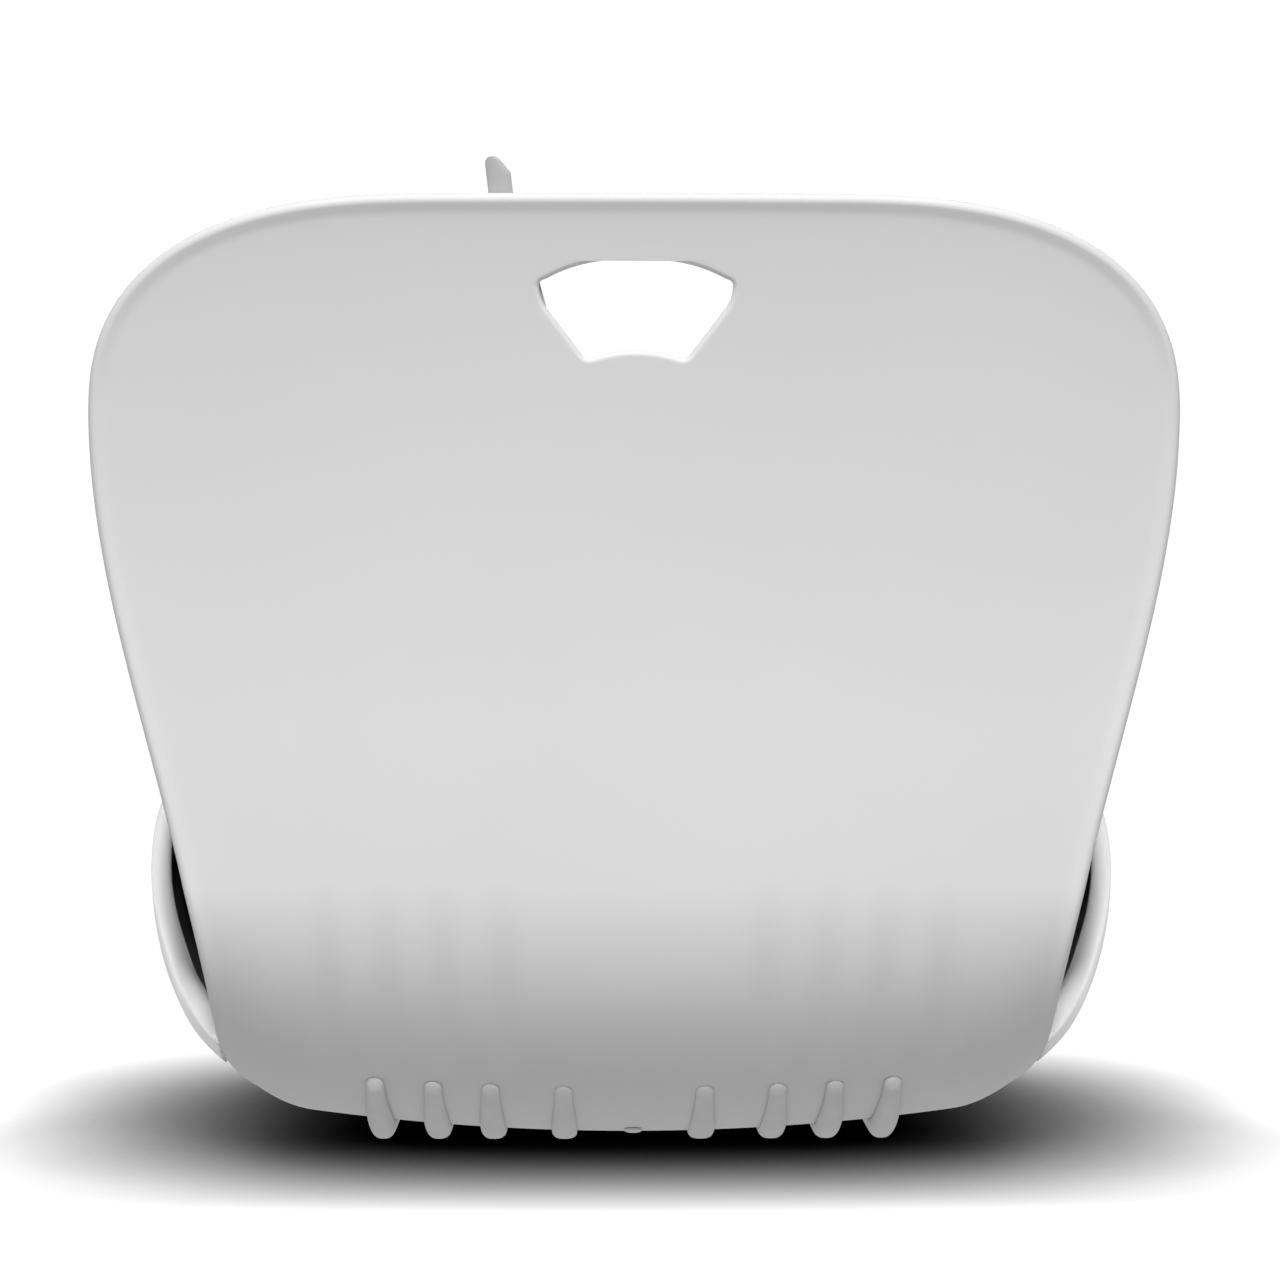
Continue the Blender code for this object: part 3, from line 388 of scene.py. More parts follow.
def build_shell():
    """The back shell: strips round the rim and the slot, and an even net of triangles between them."""
    rim, slot = shell_outline(RIM_STEP), slot_outline(SLOT_STEP)
    profile, hole = rim_profile(), slot_profile()
    verts, faces = [], []

    def strip(loop, section, sign):
        """Rings along a closed line, one for each point of its section, from the outer face round."""
        first = len(verts)
        n = len(loop)
        for t, out in section:
            ring = inset(loop, sign * t)
            verts.extend(on_shell(ring[:, 0], ring[:, 1], out))
        for j in range(len(section) - 1):
            for i in range(n):
                k = (i + 1) % n
                a = first + j * n
                faces.append((a + i, a + k, a + n + k, a + n + i))
        outer = list(range(first, first + n))
        inner = list(range(first + (len(section) - 1) * n, first + len(section) * n))
        return inset(loop, sign * section[0][0]), outer, inner

    rim_ring, rim_outer, rim_inner = strip(rim, profile, 1)
    slot_ring, slot_outer, slot_inner = strip(slot, hole, -1)

    xs = np.arange(-BACK_HALF, BACK_HALF + GRID, GRID)
    ss = np.arange(0, S_END, GRID * 0.866)
    gx, gs = np.meshgrid(xs, ss)
    gx = gx + (np.arange(len(ss)) % 2)[:, None] * GRID / 2
    net = np.stack([gx.ravel(), gs.ravel()], axis=1)
    keep = inside(net, inset(rim, RIM_BAND + GRID * 0.6))
    keep &= ~inside(net, inset(slot, -SLOT_BAND - GRID * 0.6))
    flat = [Vector(p) for p in np.vstack([rim_ring, slot_ring, net[keep]])]
    n, m = len(rim_ring), len(slot_ring)
    edges = [(i, (i + 1) % n) for i in range(n)] + [(n + i, n + (i + 1) % m) for i in range(m)]
    done = delaunay_2d_cdt(flat, edges, [], 0, 1e-5)
    points = np.array([tuple(p) for p in done[0]])
    origin = [o[0] if len(o) else -1 for o in done[3]]
    centres = np.array([points[list(f)].mean(0) for f in done[2]])
    good = inside(centres, rim_ring) & ~inside(centres, slot_ring)
    outer = on_shell(points[:, 0], points[:, 1], -flutes(points[:, 0], points[:, 1]))
    inner = on_shell(points[:, 0], points[:, 1], -WALL)
    first = len(verts)
    verts.extend(outer)
    verts.extend(inner)

    def vertex(i, side):
        """The vertex of flat point i on the outer (0) or inner (1) face, shared with the strips."""
        o = origin[i]
        if 0 <= o < n:
            return (rim_outer, rim_inner)[side][o]
        if n <= o < n + m:
            return (slot_outer, slot_inner)[side][o - n]
        return first + side * len(points) + i

    for f, ok in zip(done[2], good):
        if ok:
            faces.append(tuple(vertex(i, 0) for i in f))
            faces.append(tuple(vertex(i, 1) for i in reversed(f)))
    obj = mesh_object("back_shell_look", verts, faces)
    drop_loose(obj)
    return obj


def drop_loose(obj):
    """Delete the points that no face uses."""
    bm = bmesh.new()
    bm.from_mesh(obj.data)
    loose = [v for v in bm.verts if not v.link_faces]
    bmesh.ops.delete(bm, geom=loose, context="VERTS")
    bm.to_mesh(obj.data)
    bm.free()


# ---- Hip shell and liner ----------------------------------------------------------------------
BACK_REACH_Y, BACK_REACH_X = 45.0, 171.0
HULL_CLIMB = (20.0, 60.0)
HULL_TURN = (35.0, 55.0)


def inner_height(x, y):
    """Height of the back shell's inner face over the ground, at and in front of the bend."""
    x = np.abs(x)
    r = BEND_R - WALL - 0.85 * dish(x)
    bend = BEND_Z - np.sqrt(np.maximum(r * r - (BEND_R - y) ** 2, 1.0)) + 0.15 * dish(x)
    return np.where(y >= BEND_R, BELLY_Z + WALL + dish(x), bend)


def closed_rim(half, step):
    """A smooth closed line through the rim points of the right half and their mirror images."""
    right = np.array(half, float)
    keys = np.vstack([right, right[1:-1][::-1] * (-1, 1, 1)])
    p0, p1, p2, p3 = np.roll(keys, 1, axis=0), keys, np.roll(keys, -1, axis=0), np.roll(keys, -2, axis=0)
    fine = []
    for t in np.linspace(0, 1, 24, endpoint=False):
        fine.append(0.5 * (2 * p1 + (p2 - p0) * t + (2 * p0 - 5 * p1 + 4 * p2 - p3) * t**2
                           + (3 * p1 - p0 - 3 * p2 + p3) * t**3))
    fine = np.stack(fine, axis=1).reshape(-1, 3)
    return rounded(spread(fine, step), 6)


def hull_points(rims, base, ts, full, clear):
    """Points of the hull for every rim point and every share ts of the way out from the centre."""
    centre = np.array([0.0, HULL_CENTRE_Y])
    reach = rims[None, :, :2] - centre
    t = ts[:, None]
    k = 1.0 if full else ease((rims[None, :, 2] - HULL_CLIMB[0]) / HULL_CLIMB[1])
    turn = np.radians(HULL_TURN[0] + HULL_TURN[1] * k) * np.ones_like(t * reach[..., 0])
    a = np.clip((t - HULL_FLAT) / (1 - HULL_FLAT), 0, 1) * turn
    p = np.where(t <= HULL_FLAT, t, HULL_FLAT + (1 - HULL_FLAT) * np.sin(a) / np.sin(turn))
    xy = centre + reach * p[..., None]
    edge_x = reach[..., 0] * HULL_FLAT
    floor = base + np.where(t <= HULL_FLAT, dish(xy[..., 0]), dish(edge_x))
    z = floor + (rims[None, :, 2] - floor) * (1 - np.cos(a)) / (1 - np.cos(turn))
    limit = inner_height(xy[..., 0], xy[..., 1]) + clear
    near = (xy[..., 1] > BACK_REACH_Y) & (np.abs(xy[..., 0]) < BACK_REACH_X)
    z = np.where(near, np.maximum(z, limit), z)
    return np.concatenate([xy, z[..., None]], axis=-1)


def hull_normals(grid):
    """Outward normals of a grid whose rows are closed rings."""
    du = np.roll(grid, -1, axis=1) - np.roll(grid, 1, axis=1)
    dv = np.gradient(grid, axis=0)
    n = np.cross(du, dv)
    n /= np.maximum(np.linalg.norm(n, axis=-1), 1e-9)[..., None]
    away = grid - np.array([0.0, HULL_CENTRE_Y, 170.0])
    sign = np.sign((n * away).sum(-1))
    return n * np.where(sign == 0, 1, sign)[..., None]


EDGE_CLEAR = 0.05
BEAD_SKIN = 0.62
BODY_START, SKIN_RUN = 0.6, 6.0


def section_profile(bead, wall):
    """The rim's section as (depth below the rim, distance in from the outer face), outer face first."""
    r = max(bead, wall / 2 + EDGE_CLEAR)
    skin = min(wall, r * BEAD_SKIN) if bead > wall / 2 else wall
    curl = [(r * (1 - math.sin(a)), r * (1 - math.cos(a))) for a in np.linspace(0, math.pi, 25)]
    if bead <= wall / 2:
        return np.array(curl)
    tip = skin / 2
    for a in np.linspace(0, math.pi, 9)[1:-1]:
        curl.append((r + tip * math.sin(a), 2 * r - tip + tip * math.cos(a)))
    inner = r - skin
    curl += [(r - inner * math.sin(a), r + inner * math.cos(a)) for a in np.linspace(0, math.pi, 15)]
    return np.array(curl)


def build_hull(name, half, base, full, clear, wall, bead):
    """A fine hull: outer face, rim and inner face, closed at the centre. bead gives the rim's radius."""
    rims = closed_rim(half, 3.2)
    grid = hull_points(rims, base, np.linspace(1, 0.01, 200), full, clear)
    normal = hull_normals(grid)
    for _ in range(3):
        normal = 0.5 * normal + 0.25 * (np.roll(normal, 1, axis=1) + np.roll(normal, -1, axis=1))
    normal /= np.linalg.norm(normal, axis=-1)[..., None]
    steps = np.linalg.norm(np.diff(grid, axis=0), axis=-1)
    count = len(rims)
    length = np.vstack([np.zeros((1, count)), np.cumsum(steps, axis=0)])

    def at(i, down):
        """Points and outward directions of section i at the distances down from the rim."""
        return [np.stack([np.interp(down, length[:, i], g[:, i, k]) for k in range(3)], axis=-1)
                for g in (grid, normal)]

    spaced = np.linspace(0, 1, 60) ** 1.35
    outer, edge, inner = [], [], []
    for i in range(count):
        size = bead(rims[i])
        profile = section_profile(size, wall)
        turns = np.linspace(0, len(profile) - 1, 56)
        down = np.interp(turns, range(len(profile)), profile[:, 0])
        into = np.interp(turns, range(len(profile)), profile[:, 1])
        point, away = at(i, down)
        edge.append(point - away * into[:, None])
        start = max(size, wall / 2 + EDGE_CLEAR)
        down = start + BODY_START + (length[-1, i] - start - BODY_START) * spaced
        point, away = at(i, down)
        thin = min(wall, size * BEAD_SKIN) if size > wall / 2 else wall
        outer.append(point)
        inner.append(point - away * (thin + (wall - thin) * ease((down - start) / SKIN_RUN))[:, None])
    outer, edge, inner = (list(np.stack(rows, axis=1)) for rows in (outer, edge, inner))
    rings = outer[::-1] + edge + inner
    verts = list(np.concatenate(rings))
    faces = []
    for j in range(len(rings) - 1):
        a = j * count
        for i in range(count):
            k = (i + 1) % count
            faces.append((a + i, a + k, a + count + k, a + count + i))
    for ring in (0, (len(rings) - 1) * count):
        verts.append(np.mean([verts[ring + i] for i in range(count)], axis=0))
        faces += [(ring + i, ring + (i + 1) % count, len(verts) - 1) for i in range(count)]
    return mesh_object(name, verts, faces)


# ---- Seat and lid: cages that a subdivision rounds -------------------------------------------
def squircle(half_x, half_y, count, z):
    """A rounded oval ring round the seat's opening."""
    a = 2 * math.pi * np.arange(count) / count
    c, s = np.cos(a), np.sin(a)
    r = (np.abs(c) ** SQUIRCLE + np.abs(s) ** SQUIRCLE) ** (-1 / SQUIRCLE)
    return np.stack([half_x * c * r, OPENING_Y + half_y * s * r, np.full(count, z)], axis=1)


def loft(name, loops, closed):
    """A smoothed surface through the loops, joined end to end or capped at both ends."""
    count = len(loops[0])
    verts = [p for loop in loops for p in loop]
    faces = []
    pairs = [(j, j + 1) for j in range(len(loops) - 1)]
    if closed:
        pairs.append((len(loops) - 1, 0))
    for j, k in pairs:
        for i in range(count):
            m = (i + 1) % count
            faces.append((j * count + i, j * count + m, k * count + m, k * count + i))
    if not closed:
        for first in (0, len(loops) - 1):
            verts.append(np.mean(loops[first], axis=0))
            ring = first * count
            faces += [(ring + i, ring + (i + 1) % count, len(verts) - 1) for i in range(count)]
    obj = mesh_object(name, verts, faces)
    sub = obj.modifiers.new("Subdivision", "SUBSURF")
    sub.levels = sub.render_levels = 1
    return obj


def liner_radius(angles, z, gap):
    """How far the liner's outer face is from the opening's centre at height z, less a gap."""
    rims = closed_rim(LINER_RIM, 3.0)
    floor = LINER_Z + dish(rims[:, 0] * HULL_FLAT)
    cosine = (rims[:, 2] - z) / (rims[:, 2] - floor)
    p = HULL_FLAT + (1 - HULL_FLAT) * np.sqrt(np.clip(1 - cosine**2, 0, 1))
    rel = np.stack([rims[:, 0] * p, HULL_CENTRE_Y + (rims[:, 1] - HULL_CENTRE_Y) * p - OPENING_Y], axis=1)
    theta = np.arctan2(rel[:, 1], rel[:, 0])
    order = np.argsort(theta)
    return np.interp(angles, theta[order], np.linalg.norm(rel, axis=1)[order], period=2 * math.pi) - gap


SEAT_INSET = 4.7


def build_seat():
    """The seat ring: a closed loop of sections from its outer edge to the opening's collar and back."""
    n = 128
    hx, hy = OPENING
    top, low = DECK_Z, DECK_Z - DECK_THICK
    a = 2 * math.pi * np.arange(n) / n
    r = liner_radius(np.arctan2(np.sin(a), np.cos(a)), low, LINER_WALL + SEAT_INSET)
    outer = np.stack([r * np.cos(a), OPENING_Y + r * np.sin(a), np.full(n, low)], axis=1)
    inner = squircle(hx, hy, n, top)

    def between(k, z):
        """A ring a share k of the way from the outer edge to the opening, at height z."""
        mix = outer * (1 - k) + inner * k
        mix[:, 2] = z
        return mix

    loops = [
        between(0.0, low), between(0.0, low + 1.0), between(0.0, low + 2.2), between(0.008, top + 0.4),
        between(0.03, top + 1.25), between(0.06, top + 1.75), between(0.10, top + 1.85),
        between(0.16, top + 1.65), between(0.25, top + 1.1), between(0.4, top + 0.25),
        between(0.55, top - 0.2), between(0.7, top - 0.25), between(0.85, top - 0.1),
        squircle(hx + 5.0, hy + 5.0, n, top), squircle(hx + 2.2, hy + 2.2, n, top - 0.05),
        squircle(hx + 0.8, hy + 0.8, n, top - 0.5), squircle(hx + 0.1, hy + 0.1, n, top - 1.8),
        squircle(hx, hy, n, top - 6.0), squircle(hx, hy, n, top - 12.6),
        squircle(hx + 0.4, hy + 0.4, n, top - 13.0), squircle(hx + 2.6, hy + 2.6, n, top - 13.0),
        squircle(hx + 3.0, hy + 3.0, n, top - 12.6),
        squircle(hx + 3.2, hy + 3.2, n, low - 1.6), squircle(hx + 4.2, hy + 4.2, n, low - 0.5),
        between(0.8, low - 0.3), between(0.5, low - 0.3), between(0.09, low), between(0.02, low),
    ]
    return loft("seat_ring_look", loops, True)


BOWL_RIM_Z = DECK_Z + 0.4
BOWL_FLANGE = 2.4
LID_GAP = 0.35


def build_lid():
    """The lid from the underside's centre, over its rim, to the raised middle."""
    n = 96
    hx, hy = OPENING
    z = BOWL_RIM_Z + BOWL_FLANGE + LID_GAP
    rows = [
        (10, 14, z + 6.2), (30, 45, z + 6.0), (hx - 20, hy - 22, z + 4.6), (hx - 10, hy - 10, z + 3.2),
        (hx - 8.4, hy - 8.4, z + 2.4), (hx - 8.2, hy - 8.2, z), (hx - 8.2, hy - 8.2, z - 2.6),
        (hx - 7.9, hy - 7.9, z - 3.0), (hx - 6.7, hy - 6.7, z - 3.0), (hx - 6.4, hy - 6.4, z - 2.6),
        (hx - 6.1, hy - 6.1, z - 0.4), (hx - 5.4, hy - 5.4, z + 0.2), (hx - 2.0, hy - 2.0, z + 0.1),
        (hx + 1.2, hy + 1.2, z), (hx + 2.2, hy + 2.2, z + 0.4), (hx + 2.4, hy + 2.4, z + 1.4),
        (hx + 2.2, hy + 2.2, z + 2.2), (hx + 1.0, hy + 1.0, z + 2.9), (hx - 1.5, hy - 1.5, z + 3.1),
        (hx - 3.5, hy - 3.5, z + 2.7), (hx - 5.5, hy - 5.5, z + 2.9), (hx - 8, hy - 8, z + 4.2),
        (hx - 14, hy - 15, z + 6.0), (hx - 26, hy - 32, z + 7.7), (30, 45, z + 8.6), (17, 22, z + 8.95),
        (12, 12.5, z + 9.0),
    ]
    return loft("lid_look", [squircle(a, b, n, h) for a, b, h in rows], False)


# ---- Runners ----------------------------------------------------------------------------------
RUNNER_WIDTH = 10.6
RUNNER_END_Z = 31.0
RUNNER_FRONT_Y = 262.0
RUNNER_SINK = 0.25
RUNNER_START_DEPTH = 2.2
RUNNER_NARROW, RUNNER_GROW = 0.66, 45.0


def build_runner(number, x):
    """A rounded rubber strip. It follows the bend, then runs flat under the belly."""
    first, last = s_of_z(RUNNER_END_Z), S_BELLY + RUNNER_FRONT_Y - BEND_R
    half = RUNNER_WIDTH / 2
    near = first + half * (1 - np.cos(np.linspace(0, math.pi / 2, 9)))
    bend = np.linspace(near[-1], S_BELLY, 30)[1:]
    flat = np.linspace(S_BELLY, last - half, 24)[1:]
    far = last - half * (1 - np.sin(np.linspace(0, math.pi / 2, 9)))[1:]
    verts, faces = [], []
    stations = np.concatenate([near, bend, flat, far])
    angles = np.radians(np.linspace(0, 180, 17))
    for s in stations:
        end = min(s - first, last - s)
        k = float(ease((s - first) / (S_BELLY - first)))
        grown = float(ease((s - first) / RUNNER_GROW))
        body = half * (RUNNER_NARROW + (1 - RUNNER_NARROW) * grown)
        wide = body * math.sqrt(max(0.0, 1 - (1 - min(1.0, end / body)) ** 2))
        wide = max(wide, 0.05)
        start = RUNNER_START_DEPTH + 0.30 * float(dish(x))
        depth = start + (BELLY_Z + float(dish(x)) - start) * k
        cap = math.sqrt(min(1.0, (end + 0.02) / half))
        ny, nz = (float(v) for v in along(s)[2:])
        centre = on_shell(abs(x), s, 0.0)
        for a in angles:
            dx = -wide * math.copysign(abs(math.cos(a)) ** 0.75, math.cos(a))
            up = math.sin(a) ** 0.8
            px = x + dx
            root = on_shell(px, s, RUNNER_SINK)
            low = centre + np.array([0, ny, nz]) * depth
            if s >= S_BELLY - 1e-6:
                low[2] = 0.0
            low[0] = px
            tip = root + (low - root) * cap
            verts.append(root + (np.array([px, tip[1], tip[2]]) - root) * up)
    m = len(angles)
    for j in range(len(stations) - 1):
        for i in range(m - 1):
            faces.append((j * m + i, j * m + i + 1, (j + 1) * m + i + 1, (j + 1) * m + i))
        faces.append((j * m + m - 1, j * m, (j + 1) * m, (j + 1) * m + m - 1))
    faces.append(tuple(range(m)))
    faces.append(tuple(range(len(verts) - 1, len(verts) - 1 - m, -1)))
    return mesh_object(f"runner_{number}_look", verts, faces)


# ---- Hang tab ---------------------------------------------------------------------------------
TAB_STUD = (-45.6, 365.5)
TAB_SLANT = math.radians(14.4)
TAB_HALF = 4.8
TAB_LENGTH = 70.0
TAB_OFF = 0.55
TAB_THIN, TAB_GROWTH = 1.4, 1.2
TAB_END = 2.5
TAB_CHAMFER, TAB_CHAMFER_SLOPE = 8.0, 0.62
TAB_GROWS_FROM, TAB_BEND_START = 7.0, 18.0


def build_tab():
    """A moulded strip: flat where its stud holds it, thicker and rounded at its free upper end."""
    x, s = TAB_STUD[0], s_of_z(TAB_STUD[1])
    du = on_shell(x + 0.5, s, 0) - on_shell(x - 0.5, s, 0)
    dv = on_shell(x, s + 0.5, 0) - on_shell(x, s - 0.5, 0)
    inward = np.cross(du, dv)
    inward *= math.copysign(1 / np.linalg.norm(inward), inward[1])
    level = np.cross((0.0, 0.0, 1.0), inward)
    level /= np.linalg.norm(level)
    left = level * -math.copysign(1.0, level[0])
    up = np.cross(inward, level) * math.cos(TAB_SLANT) + left * math.sin(TAB_SLANT)
    right = np.cross(up, inward)
    right *= math.copysign(1.0, right[0])
    origin = on_shell(x, s, 0) + inward * WALL
    low, high = -TAB_LENGTH / 2, TAB_LENGTH / 2 - 0.8
    stops = np.concatenate([
        low + TAB_END * (1 - np.cos(np.linspace(0.12, math.pi / 2, 8))),
        np.linspace(low + TAB_END, high - 8.5, 44)[1:],
        high - 8.5 + np.arange(1, 13) * 0.5,
        high - TAB_END + TAB_END * np.sin(np.linspace(0, math.pi / 2 - 0.12, 10))[1:],
    ])
    verts, m = [], 28
    for y in stops:
        near, far = -TAB_HALF, TAB_HALF - max(0.0, y - (high - TAB_CHAMFER)) * TAB_CHAMFER_SLOPE
        middle, half = (near + far) / 2, (far - near) / 2
        thick = TAB_THIN + TAB_GROWTH * float(ease((y - TAB_GROWS_FROM) / 9.0))
        bend = -1.2 - float(ease((y - TAB_GROWS_FROM) / 11.0)) + 0.15 * max(0.0, y - TAB_BEND_START)
        end = min(y - low, high - y) / TAB_END
        if end < 1:
            round_off = math.sqrt(1 - (1 - end) ** 2)
            half, thick = half - 2.0 * (1 - round_off), thick * (0.35 + 0.65 * round_off)
        for a in 2 * math.pi * np.arange(m) / m:
            dx = half * math.copysign(abs(math.cos(a)) ** 0.8, math.cos(a))
            out = TAB_OFF + 0.5 * thick * (1 + math.sin(a))
            verts.append(origin + right * (middle + dx + bend) + up * y + inward * out)
    faces = []
    for j in range(len(stops) - 1):
        for i in range(m):
            k = (i + 1) % m
            faces.append((j * m + i, j * m + k, (j + 1) * m + k, (j + 1) * m + i))
    faces.append(tuple(range(m)))
    faces.append(tuple(range(len(verts) - 1, len(verts) - 1 - m, -1)))
    return mesh_object("hang_tab_look", verts, faces)


# ---- Materials --------------------------------------------------------------------------------
class Nodes:
    """Short calls for a material's node tree."""

    def __init__(self, name):
        self.mat = bpy.data.materials.new(name)
        self.mat.use_nodes = True
        self.tree = self.mat.node_tree
        self.shader = self.tree.nodes["Principled BSDF"]
        self.place = self.tree.nodes.new("ShaderNodeTexCoord").outputs["Object"]

    def link(self, a, b):
        self.tree.links.new(a, b)

    def noise(self, scale, detail, rough=0.55, stretch=None):
        node = self.tree.nodes.new("ShaderNodeTexNoise")
        node.inputs["Scale"].default_value = scale
        node.inputs["Detail"].default_value = detail
        node.inputs["Roughness"].default_value = rough
        place = self.place
        if stretch:
            mapping = self.tree.nodes.new("ShaderNodeMapping")
            mapping.inputs["Scale"].default_value = stretch
            self.link(self.place, mapping.inputs["Vector"])
            place = mapping.outputs["Vector"]
        self.link(place, node.inputs["Vector"])
        return node.outputs["Fac"]

    def span(self, value, low, high, to_low, to_high):
        node = self.tree.nodes.new("ShaderNodeMapRange")
        for key, number in zip(("From Min", "From Max", "To Min", "To Max"), (low, high, to_low, to_high)):
            node.inputs[key].default_value = number
        self.link(value, node.inputs["Value"])
        return node.outputs["Result"]

    def mix(self, factor, a, b):
        node = self.tree.nodes.new("ShaderNodeMix")
        node.data_type = "RGBA"
        for socket, value in ((node.inputs[6], a), (node.inputs[7], b)):
            if isinstance(value, tuple):
                socket.default_value = value
            else:
                self.link(value, socket)
        self.link(factor, node.inputs[0])
        return node.outputs[2]

    def edges(self):
        """Zero on flat faces, one on the most rounded outer edges."""
        node = self.tree.nodes.new("ShaderNodeNewGeometry")
        return self.span(node.outputs["Pointiness"], 0.53, 0.60, 0.0, 1.0)

    def bump(self, heights):
        """A chain of bumps from (height, strength, distance) rows."""
        normal = None
        for height, strength, distance in heights:
            node = self.tree.nodes.new("ShaderNodeBump")
            node.inputs["Strength"].default_value = strength
            node.inputs["Distance"].default_value = distance
            self.link(height, node.inputs["Height"])
            if normal:
                self.link(normal, node.inputs["Normal"])
            normal = node.outputs["Normal"]
        self.link(normal, self.shader.inputs["Normal"])


def grey(v):
    return (v, v, v, 1.0)


def moulded(name, tone, rough, grain=0.05, stain=0.03, wear=0.5, spec=0.5, patchy=0.14):
    """Moulded plastic: cloudy tone, fine texture, flow marks, scuffs and rubbed edges."""
    n = Nodes(name)
    cloud = n.noise(7.0, 3.0)
    fine = n.noise(900.0, 2.0)
    scuff = n.noise(60.0, 6.0, 0.7, (1.0, 1.0, 0.12))
    base = n.mix(n.span(cloud, 0.35, 0.65, 0, 1), grey(tone - stain), grey(tone + stain * 0.5))
    rubbed = n.mix(n.edges(), base, grey(min(0.95, tone + 0.04 * wear)))
    n.link(rubbed, n.shader.inputs["Base Color"])
    n.link(n.span(scuff, 0.4, 0.75, rough, rough + patchy), n.shader.inputs["Roughness"])
    n.shader.inputs["Specular IOR Level"].default_value = spec
    n.bump([(n.noise(16.0, 2.0), 0.12, 0.0012), (fine, grain, 0.0003), (scuff, 0.02, 0.0003)])
    return n.mat


def wire_steel(name):
    """Drawn wire, with fine lines along it."""
    n = Nodes(name)
    lines = n.noise(700.0, 3.0, 0.6, (0.05, 1.0, 1.0))
    n.link(n.mix(lines, grey(0.42), grey(0.62)), n.shader.inputs["Base Color"])
    n.link(n.span(lines, 0.3, 0.7, 0.22, 0.38), n.shader.inputs["Roughness"])
    n.shader.inputs["Metallic"].default_value = 1.0
    n.bump([(lines, 0.08, 0.0002)])
    return n.mat


def rubber(name, tone):
    """Dull rubber with a fine grain and a little dust."""
    n = Nodes(name)
    fine = n.noise(1200.0, 3.0)
    dust = n.noise(45.0, 5.0)
    tint = n.mix(n.span(dust, 0.35, 0.7, 0, 1), grey(tone - 0.05), grey(tone + 0.03))
    n.link(tint, n.shader.inputs["Base Color"])
    n.link(n.span(dust, 0.3, 0.7, 0.55, 0.75), n.shader.inputs["Roughness"])
    n.bump([(fine, 0.18, 0.0003), (dust, 0.08, 0.0006)])
    return n.mat


def dress(obj, material):
    """Give an object one material."""
    obj.data.materials.clear()
    obj.data.materials.append(material)


# ---- Build ------------------------------------------------------------------------------------
white = moulded("white_moulding", 0.81, 0.46, 0.05, 0.008, 0.5, 0.3)
charcoal = moulded("charcoal_moulding", 0.035, 0.42, 0.16, 0.006)
seat_grey = moulded("seat_moulding", 0.56, 0.40, 0.10, 0.015)
bowl_grey = moulded("bowl_moulding", 0.66, 0.36, 0.03, 0.008, 0.0, 0.4, 0.03)
pale_rubber = rubber("pale_rubber", 0.80)
steel = wire_steel("drawn_wire")
tab_plastic = moulded("tab_plastic", 0.60, 0.30, 0.05, 0.02)


def add_look(obj, material, body, slot, *nodes):
    """Give a fine shape its material and its body, and hide the CAD nodes that it replaces; slot is not
    used.
    """
    dress(obj, material)
    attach(obj, body)
    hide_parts(*nodes)
    return obj


def wing_bead(rim):
    """Radius of the hip shell's rolled rim: broad low on the wings, plain where the back covers it."""
    rear = 1 - float(ease((rim[1] - 120.0) / 60.0))
    size = 3.4 + 0.9 * rear + 1.0 * rear * float(ease((119.0 - rim[2]) / 60.0))
    return 1.6 + (size - 1.6) * float(ease((rim[2] - 34.0) / 12.0))


add_look(build_shell(), white, "base", "white_shell", "back_shell")
hip = build_hull("hip_shell_look", WING_RIM, BASE_Z, False, 0.6, 3.0, wing_bead)
add_look(hip, white, "base", "white_shell", "hip_shell")
liner = build_hull("pan_liner_look", LINER_RIM, LINER_Z, True, 4.3, LINER_WALL, lambda rim: 0.0)
add_look(liner, charcoal, "base", "charcoal_liner", "pan_liner")
add_look(build_seat(), seat_grey, "seat", "grey_seat", "seat_ring")
dress(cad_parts["bowl"], bowl_grey)
add_look(build_lid(), bowl_grey, "lid", "grey_bowl", "lid")

for name, material in (
    ("lid_knob", seat_grey), ("bail", steel), ("bail_grip", seat_grey), ("drain_plug", pale_rubber),
    ("tab_stud", white), ("rivet_1", white), ("rivet_2", white),
    ("rivet_3", white), ("rivet_4", white),
):
    dress(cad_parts[name], material)

add_look(build_tab(), tab_plastic, "tab", "tab_plastic", "hang_tab")

number = 1
for side in (-1, 1):
    for x in RUNNER_X if side > 0 else reversed(RUNNER_X):
        add_look(build_runner(number, side * x), pale_rubber, "base", "pale_rubber", f"runner_{number}")
        number += 1


# ---- Stage, light and camera ------------------------------------------------------------------
FLOOR_HALF = 30.0
FLOOR_DROP = 0.0002
FLOOR_WHITE = 1.04
# The painted shadow on the glowing floor: how far its ambient occlusion reaches and how hard it darkens.
SHADOW_REACH, SHADOW_POWER = 0.11, 2.6
SKY_WHITE = 1.05
SKY_BAND = (-0.12, -0.01)
SKY_UPPER, SKY_LOWER = 0.20, 0.47


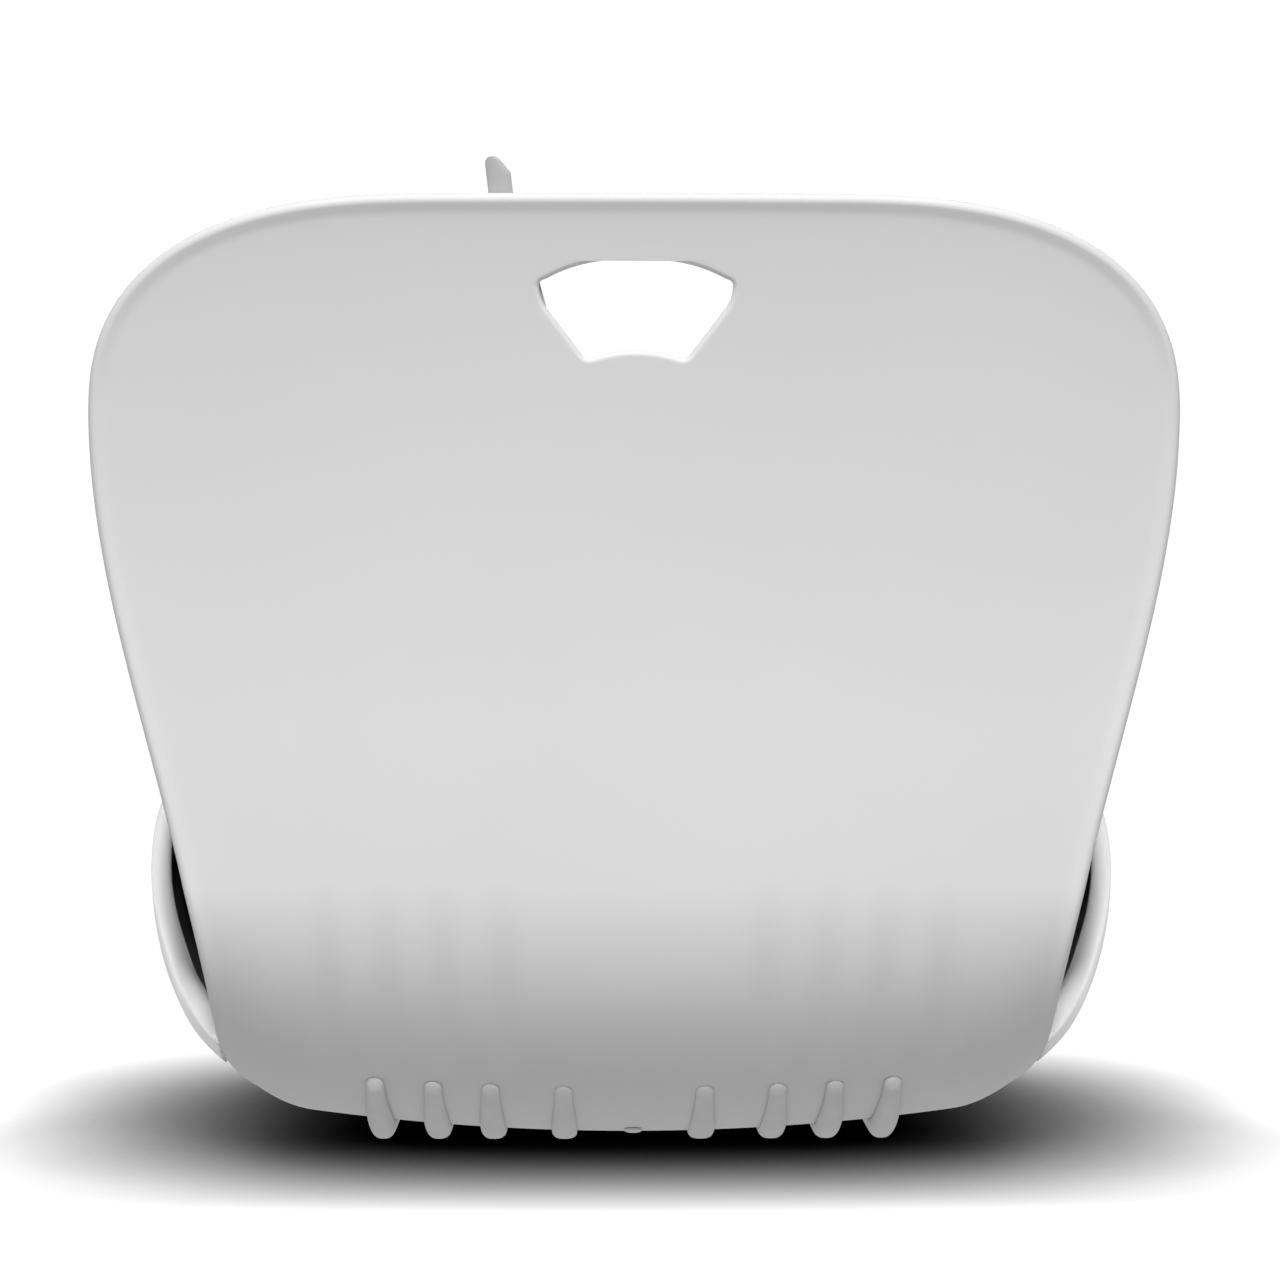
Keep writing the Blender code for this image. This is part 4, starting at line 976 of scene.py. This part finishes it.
def build_stage():
    """A floor that glows as bright as the sky, with a painted soft shadow: its glow is dimmed where the
    part is close to it.
    """
    mesh = bpy.data.meshes.new("floor")
    size = FLOOR_HALF
    corners = [(-size, -size, 0), (size, -size, 0), (size, size, 0), (-size, size, 0)]
    mesh.from_pydata(corners, [], [(0, 1, 2, 3)])
    floor = bpy.data.objects.new("floor", mesh)
    bpy.context.scene.collection.objects.link(floor)
    n = Nodes("glowing_floor_painted_shadow")
    # Painted shadow: ambient occlusion dims the floor's glow near the part; no lamp casts it.
    painted_shadow_ao = n.tree.nodes.new("ShaderNodeAmbientOcclusion")
    painted_shadow_ao.samples = 32
    painted_shadow_ao.inputs["Distance"].default_value = SHADOW_REACH
    shade = n.tree.nodes.new("ShaderNodeMath")
    shade.operation = "POWER"
    shade.inputs[1].default_value = SHADOW_POWER
    glow = n.tree.nodes.new("ShaderNodeEmission")
    glow.inputs["Color"].default_value = grey(FLOOR_WHITE)
    n.link(painted_shadow_ao.outputs["AO"], shade.inputs[0])
    n.link(shade.outputs["Value"], glow.inputs["Strength"])
    n.link(glow.outputs["Emission"], n.tree.nodes["Material Output"].inputs["Surface"])
    mesh.materials.append(n.mat)
    floor.visible_diffuse = floor.visible_glossy = False
    floor.location.z = -FLOOR_DROP


def build_world(upper, lower):
    """Light from above and below with its own strengths; the camera sees one even white."""
    world = bpy.data.worlds.new("studio")
    bpy.context.scene.world = world
    world.use_nodes = True
    tree = world.node_tree
    back = tree.nodes["Background"]
    place = tree.nodes.new("ShaderNodeTexCoord")
    parts = tree.nodes.new("ShaderNodeSeparateXYZ")
    ramp = tree.nodes.new("ShaderNodeMapRange")
    ramp.interpolation_type = "SMOOTHSTEP"
    for socket, value in zip(("From Min", "From Max", "To Min", "To Max"), (*SKY_BAND, lower, upper)):
        ramp.inputs[socket].default_value = value
    tree.links.new(place.outputs["Generated"], parts.inputs[0])
    tree.links.new(parts.outputs["Z"], ramp.inputs["Value"])
    seen = tree.nodes.new("ShaderNodeLightPath")
    strength = tree.nodes.new("ShaderNodeMix")
    strength.inputs["B"].default_value = SKY_WHITE
    tree.links.new(seen.outputs["Is Camera Ray"], strength.inputs["Factor"])
    tree.links.new(ramp.outputs["Result"], strength.inputs["A"])
    tree.links.new(strength.outputs["Result"], back.inputs["Strength"])
    back.inputs["Color"].default_value = (1, 1, 1, 1)


def area_light(name, place, aim, size, power):
    """A rectangular lamp at place that points at aim; metres and watts."""
    data = bpy.data.lights.new(name, "AREA")
    data.shape = "RECTANGLE"
    data.size, data.size_y = size
    data.energy = power
    light = bpy.data.objects.new(name, data)
    light.location = place
    light.rotation_euler = (Vector(aim) - Vector(place)).to_track_quat("-Z", "Y").to_euler()
    bpy.context.scene.collection.objects.link(light)
    return light


def receivers(name, objects):
    """A collection of the only objects that a lamp is to light."""
    group = bpy.data.collections.new(name)
    for obj in objects:
        group.objects.link(obj)
    return group


KEY_PLACE, KEY_AIM, KEY_SIZE, KEY_POWER = (0.0, -2.24, 2.88), (0.0, -0.15, 0.2), (3.2, 1.8), 128.0
FILL_X, FILL_Y, FILL_Z = 1.5, -1.5, 0.35
FILL_AIM_X, FILL_AIM_Z = 0.19, 0.09
FILL_SIZE, FILL_POWER = (0.9, 0.9), 19.0
FRONT_PLACE, FRONT_AIM, FRONT_SIZE, FRONT_POWER = (0.0, 3.0, 0.95), (0.0, 0.0, 0.15), (2.4, 1.4), 62.0


def build_lights(hip_look):
    """A high key on the camera's side, low fills for the wings and a wide low light on the far side."""
    key = area_light("key", KEY_PLACE, KEY_AIM, KEY_SIZE, KEY_POWER)
    meshes = [obj for obj in bpy.context.scene.objects if obj.type == "MESH" and obj.name != "floor"]
    key.light_linking.receiver_collection = receivers("lit_by_key", meshes)
    wings = receivers("lit_by_fill", [hip_look])
    for side in (-1, 1):
        place = (side * FILL_X, FILL_Y, FILL_Z)
        aim = (side * FILL_AIM_X, 0.0, FILL_AIM_Z)
        fill = area_light(f"fill_{side + 2}", place, aim, FILL_SIZE, FILL_POWER)
        fill.light_linking.receiver_collection = wings
    front = area_light("front", FRONT_PLACE, FRONT_AIM, FRONT_SIZE, FRONT_POWER)
    front.visible_camera = False


CAMERA_X, CAMERA_Y, CAMERA_Z = -0.0166, -1.3, 0.212
CAMERA_TURN = -0.81
LENS, SENSOR = 92.8, 36.0


def build_camera():
    """The photo's view: level, straight at the back, from a little to the left."""
    data = bpy.data.cameras.new("camera")
    camera = bpy.data.objects.new("camera", data)
    data.lens = LENS
    data.sensor_width = SENSOR
    data.clip_start, data.clip_end = 0.05, 100.0
    camera.location = (CAMERA_X, CAMERA_Y - SHIFT_Y * MM, CAMERA_Z)
    camera.rotation_euler = (math.radians(90), 0, math.radians(CAMERA_TURN))
    bpy.context.scene.collection.objects.link(camera)
    bpy.context.scene.camera = camera


build_stage()
build_world(SKY_UPPER, SKY_LOWER)
build_lights(hip)
build_camera()
bpy.context.scene.view_settings.view_transform = "Standard"
